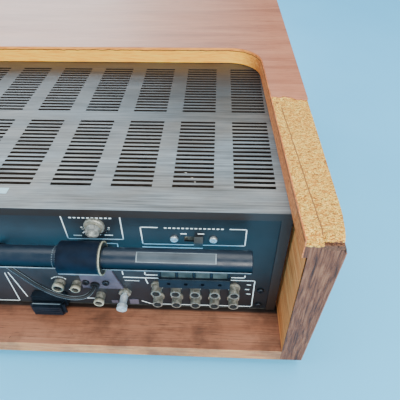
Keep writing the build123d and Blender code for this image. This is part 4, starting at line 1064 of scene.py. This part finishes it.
def add_jack_details():
    """Insulators in all the jacks, and cream caps on the single ones."""
    black, cream = bmesh.new(), bmesh.new()
    face = PANEL_Y + 9.0
    sunk = [(-1.9, 1.2), (-1.9, 2.9), (-0.05, 2.98), (0.06, 3.3), (0.12, 3.3), (-1.2, 2.5), (-1.5, 1.2)]
    for x in JACK_X:
        for z in (40.2, 55.6):
            lathe(black, (x, z), [(face + y, r) for y, r in sunk])
    for x, z, radius, reach in SINGLE_JACKS:
        face = PANEL_Y + reach
        bore = radius * 0.72
        sunk = [(-2.1, 1.7), (-2.1, bore - 0.05), (-1.4, bore - 0.05), (-1.1, 1.7)]
        lathe(black, (x, z), [(face + y, r) for y, r in sunk])
        cap = [
            (0.02, bore + 0.05),
            (0.4, bore + 0.3),
            (0.4, radius - 0.2),
            (-0.2, radius + 0.25),
            (-3.2, radius + 0.25),
            (-3.2, radius + 0.02),
            (0.02, radius + 0.02),
        ]
        lathe(cream, (x, z), [(face + y, r) for y, r in cap], 36)
    put("jack_insulators", black, "jack_insulator", smooth=True)
    put("jack_caps", cream, "cream_cap", smooth=True)


def add_panel_plates():
    """Small plates on the lower panel, and the two dashes under the sleeve."""
    near = PANEL_Y + 0.02
    blocks(
        "panel_plates",
        "bracket_paint",
        ((-109, near, 26.9), (-101, PANEL_Y + 0.8, 34), 0.25),
        ((-91, near, 27.2), (-85, PANEL_Y + 0.6, 31.5), 0.2),
    )
    work = bmesh.new()
    ribbon(work, [(-70.5, 103.8), (-72.3, 102.4)], 0.7)
    ribbon(work, [(-62.5, 104.4), (-64.3, 103.0)], 0.7)
    put("sleeve_dashes", work, "panel_print")


def add_cover_details():
    """Sticker and small chips in the paint of the top cover."""
    sticker = ((-24, 171.8, BODY_TOP + 0.02), (-17, 178, BODY_TOP + 0.18), 0.05)
    blocks("cover_sticker", "sticker", sticker)
    chance = random.Random(21)
    work = bmesh.new()
    corners = 9
    for x, y in ((-156.4, 156.8), (-158.8, 161.1), (-151.5, 150.5)):
        ring = []
        for step in range(corners):
            angle = 2 * math.pi * step / corners
            reach = chance.uniform(0.5, 1.0)
            spot = (x + reach * math.cos(angle), y + 0.6 * reach * math.sin(angle))
            ring.append(work.verts.new((*spot, BODY_TOP + 0.03)))
        work.faces.new(ring)
    put("cover_chips", work, "bare_steel")


def add_link_details():
    """Link plug with its ribs, and pale strips painted as the highlights of its top edge and of the
    terminal block's shelf edge.
    """
    low, high = low_high("link_socket")
    plug = blocks(
        "link_plug",
        "black_plastic",
        ((low.x + 0.6, low.y, low.z + 3), (high.x, low.y + 8, high.z), 1.4),
        ((low.x + 2, low.y + 7, low.z + 4), (high.x - 1.5, low.y + 10, high.z - 1.8), 0.6),
        ((low.x, low.y + 9, low.z), (high.x - 1.2, high.y - 0.3, high.z - 0.6), 2.6),
    )
    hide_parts("link_socket")
    ribs = [
        ((low.x + 4, high.y - 0.5, z), (high.x - 5, high.y, z + 1.0), 0.2)
        for z in steps(low.z + 4.5, high.z - 6.5, 2.8)
    ]
    blocks("link_ribs", "black_plastic", *ribs)
    # Painted highlight along the plug's top edge.
    foot = high.z - 0.85
    edge = ((low.x + 3, low.y + 12.8, foot), (high.x - 4.2, low.y + 13.6, foot + 0.3), 0.1)
    blocks("link_edge", "moulding_seam", edge)
    # Painted highlight along the front top edge of the terminal block's shelf.
    low, high = low_high("terminal_block")
    shelf = low_high("antenna_lever_1")[0].z - 0.25
    edge = ((low.x + 0.3, high.y - 0.35, shelf - 0.4), (high.x - 0.3, high.y, shelf), 0.08)
    blocks("terminal_edge", "stitches_and_highlight", edge)


def number(work, text, x, z, size, face):
    """Adds a dial number that reads from the front."""
    data = bpy.data.curves.new("number", "FONT")
    data.body = text
    data.size = size
    data.align_x = "CENTER"
    data.resolution_u = 3
    item = bpy.data.objects.new("number", data)
    flat = bpy.data.meshes.new_from_object(item)
    for vert in flat.vertices:
        vert.co = (x + vert.co.x, face - 0.06, z + vert.co.y)
    work.from_mesh(flat)
    bpy.data.objects.remove(item)
    bpy.data.curves.remove(data)
    bpy.data.meshes.remove(flat)


def add_dial_scale():
    """Two scales with ticks and plain numbers on the dial plate."""
    face = low_high("dial_plate")[0].y
    glass_low, glass_high = low_high("dial_glass")
    half = glass_high.x - 18
    upper, lower = glass_high.z - 13, glass_low.z + 11
    work = bmesh.new()
    for z in (upper, lower):
        ribbon(work, [(-half, z), (half, z)], 0.4, face, -0.05)
    for step in range(41):
        x = -half + 2 * half * step / 40
        tall = 3.2 if step % 4 == 0 else 1.7
        ribbon(work, [(x, upper), (x, upper + tall)], 0.35, face, -0.05)
        ribbon(work, [(x, lower), (x, lower - tall)], 0.35, face, -0.05)
    for step, text in enumerate(("88", "92", "96", "100", "104", "108")):
        number(work, text, -half + 2 * half * step / 5, upper + 4.6, 5.0, face)
    for step, text in enumerate(("53", "60", "70", "90", "110", "130", "160")):
        number(work, text, -half + 2 * half * step / 6, lower - 8.0, 4.4, face)
    put("dial_scale", work, "scale_print")


def add_meter_scale():
    """Arc and ticks of the tuning meter, on a pale card in its case."""
    low, high = low_high("meter_housing")
    floor = low.y + 3.0
    pivot = ((low.x + high.x) / 2, 100.0)
    face = floor - 0.25
    card = ((low.x + 1.9, face, low.z + 1.9), (high.x - 1.9, floor - 0.02, high.z - 1.9), 0.08)
    blocks("meter_card", "meter_card", card)
    work = bmesh.new()
    ribbon(work, arc(pivot, 18.6, 50, 130, 20), 0.4, face, -0.04)
    for step in range(11):
        reach = 21.0 if step % 5 == 0 else 20.0
        ribbon(work, spoke(pivot, 130 - 8 * step, (18.6, reach)), 0.35, face, -0.04)
    put("meter_scale", work, "dial_black")


def add_front_print():
    """Tick rings round the knobs, lines and dashes on the face plate, and the dial's trim."""
    face = low_high("front_panel")[0].y
    work = bmesh.new()
    for node, count in (
        ("volume_knob", 11), ("bass_knob", 11), ("treble_knob", 11), ("selector_knob", 5)
    ):
        centre, radius = disc(node)
        for step in range(count):
            ends = spoke(centre, 225 - 270 * step / (count - 1), (radius + 2.0, radius + 4.2))
            ribbon(work, ends, 0.5, face, -0.05)
    for z in (82, 33):
        ribbon(work, [(-222, z), (222, z)], 0.5, face, -0.05)
    centre, radius = disc("tuning_knob")
    ribbon(work, arc(centre, radius + 2.5, 0, 360, 60), 0.4, face, -0.05)
    for x in (-200, 46, -165):
        ribbon(work, [(x - 4, 68), (x + 4, 68)], 0.7, face, -0.05)
    put("front_print", work, "dial_black")

    low, high = low_high("dial_glass")
    x0, z0, x1, z1 = low.x - 1, low.z - 1, high.x + 1, high.z + 1
    trim = 1.6
    bars = (
        (x0 - trim, z0 - trim, x1 + trim, z0),
        (x0 - trim, z1, x1 + trim, z1 + trim),
        (x0 - trim, z0, x0, z1),
        (x1, z0, x1 + trim, z1),
    )
    boxes = [((x, face - 0.7, z), (far_x, face - 0.01, far_z), 0.2) for x, z, far_x, far_z in bars]
    blocks("dial_trim", "dial_black", *boxes)


add_camera()
add_light()
add_floor()
for look, names in WORN_BY.items():
    for name in names.split():
        paint(NODES[name], look)
add_lead_highlight_lines(add_lead())
add_wood()
add_panel_print()
add_bar_details()
add_jack_details()
add_panel_plates()
add_cover_details()
add_link_details()
add_dial_scale()
add_meter_scale()
add_front_print()
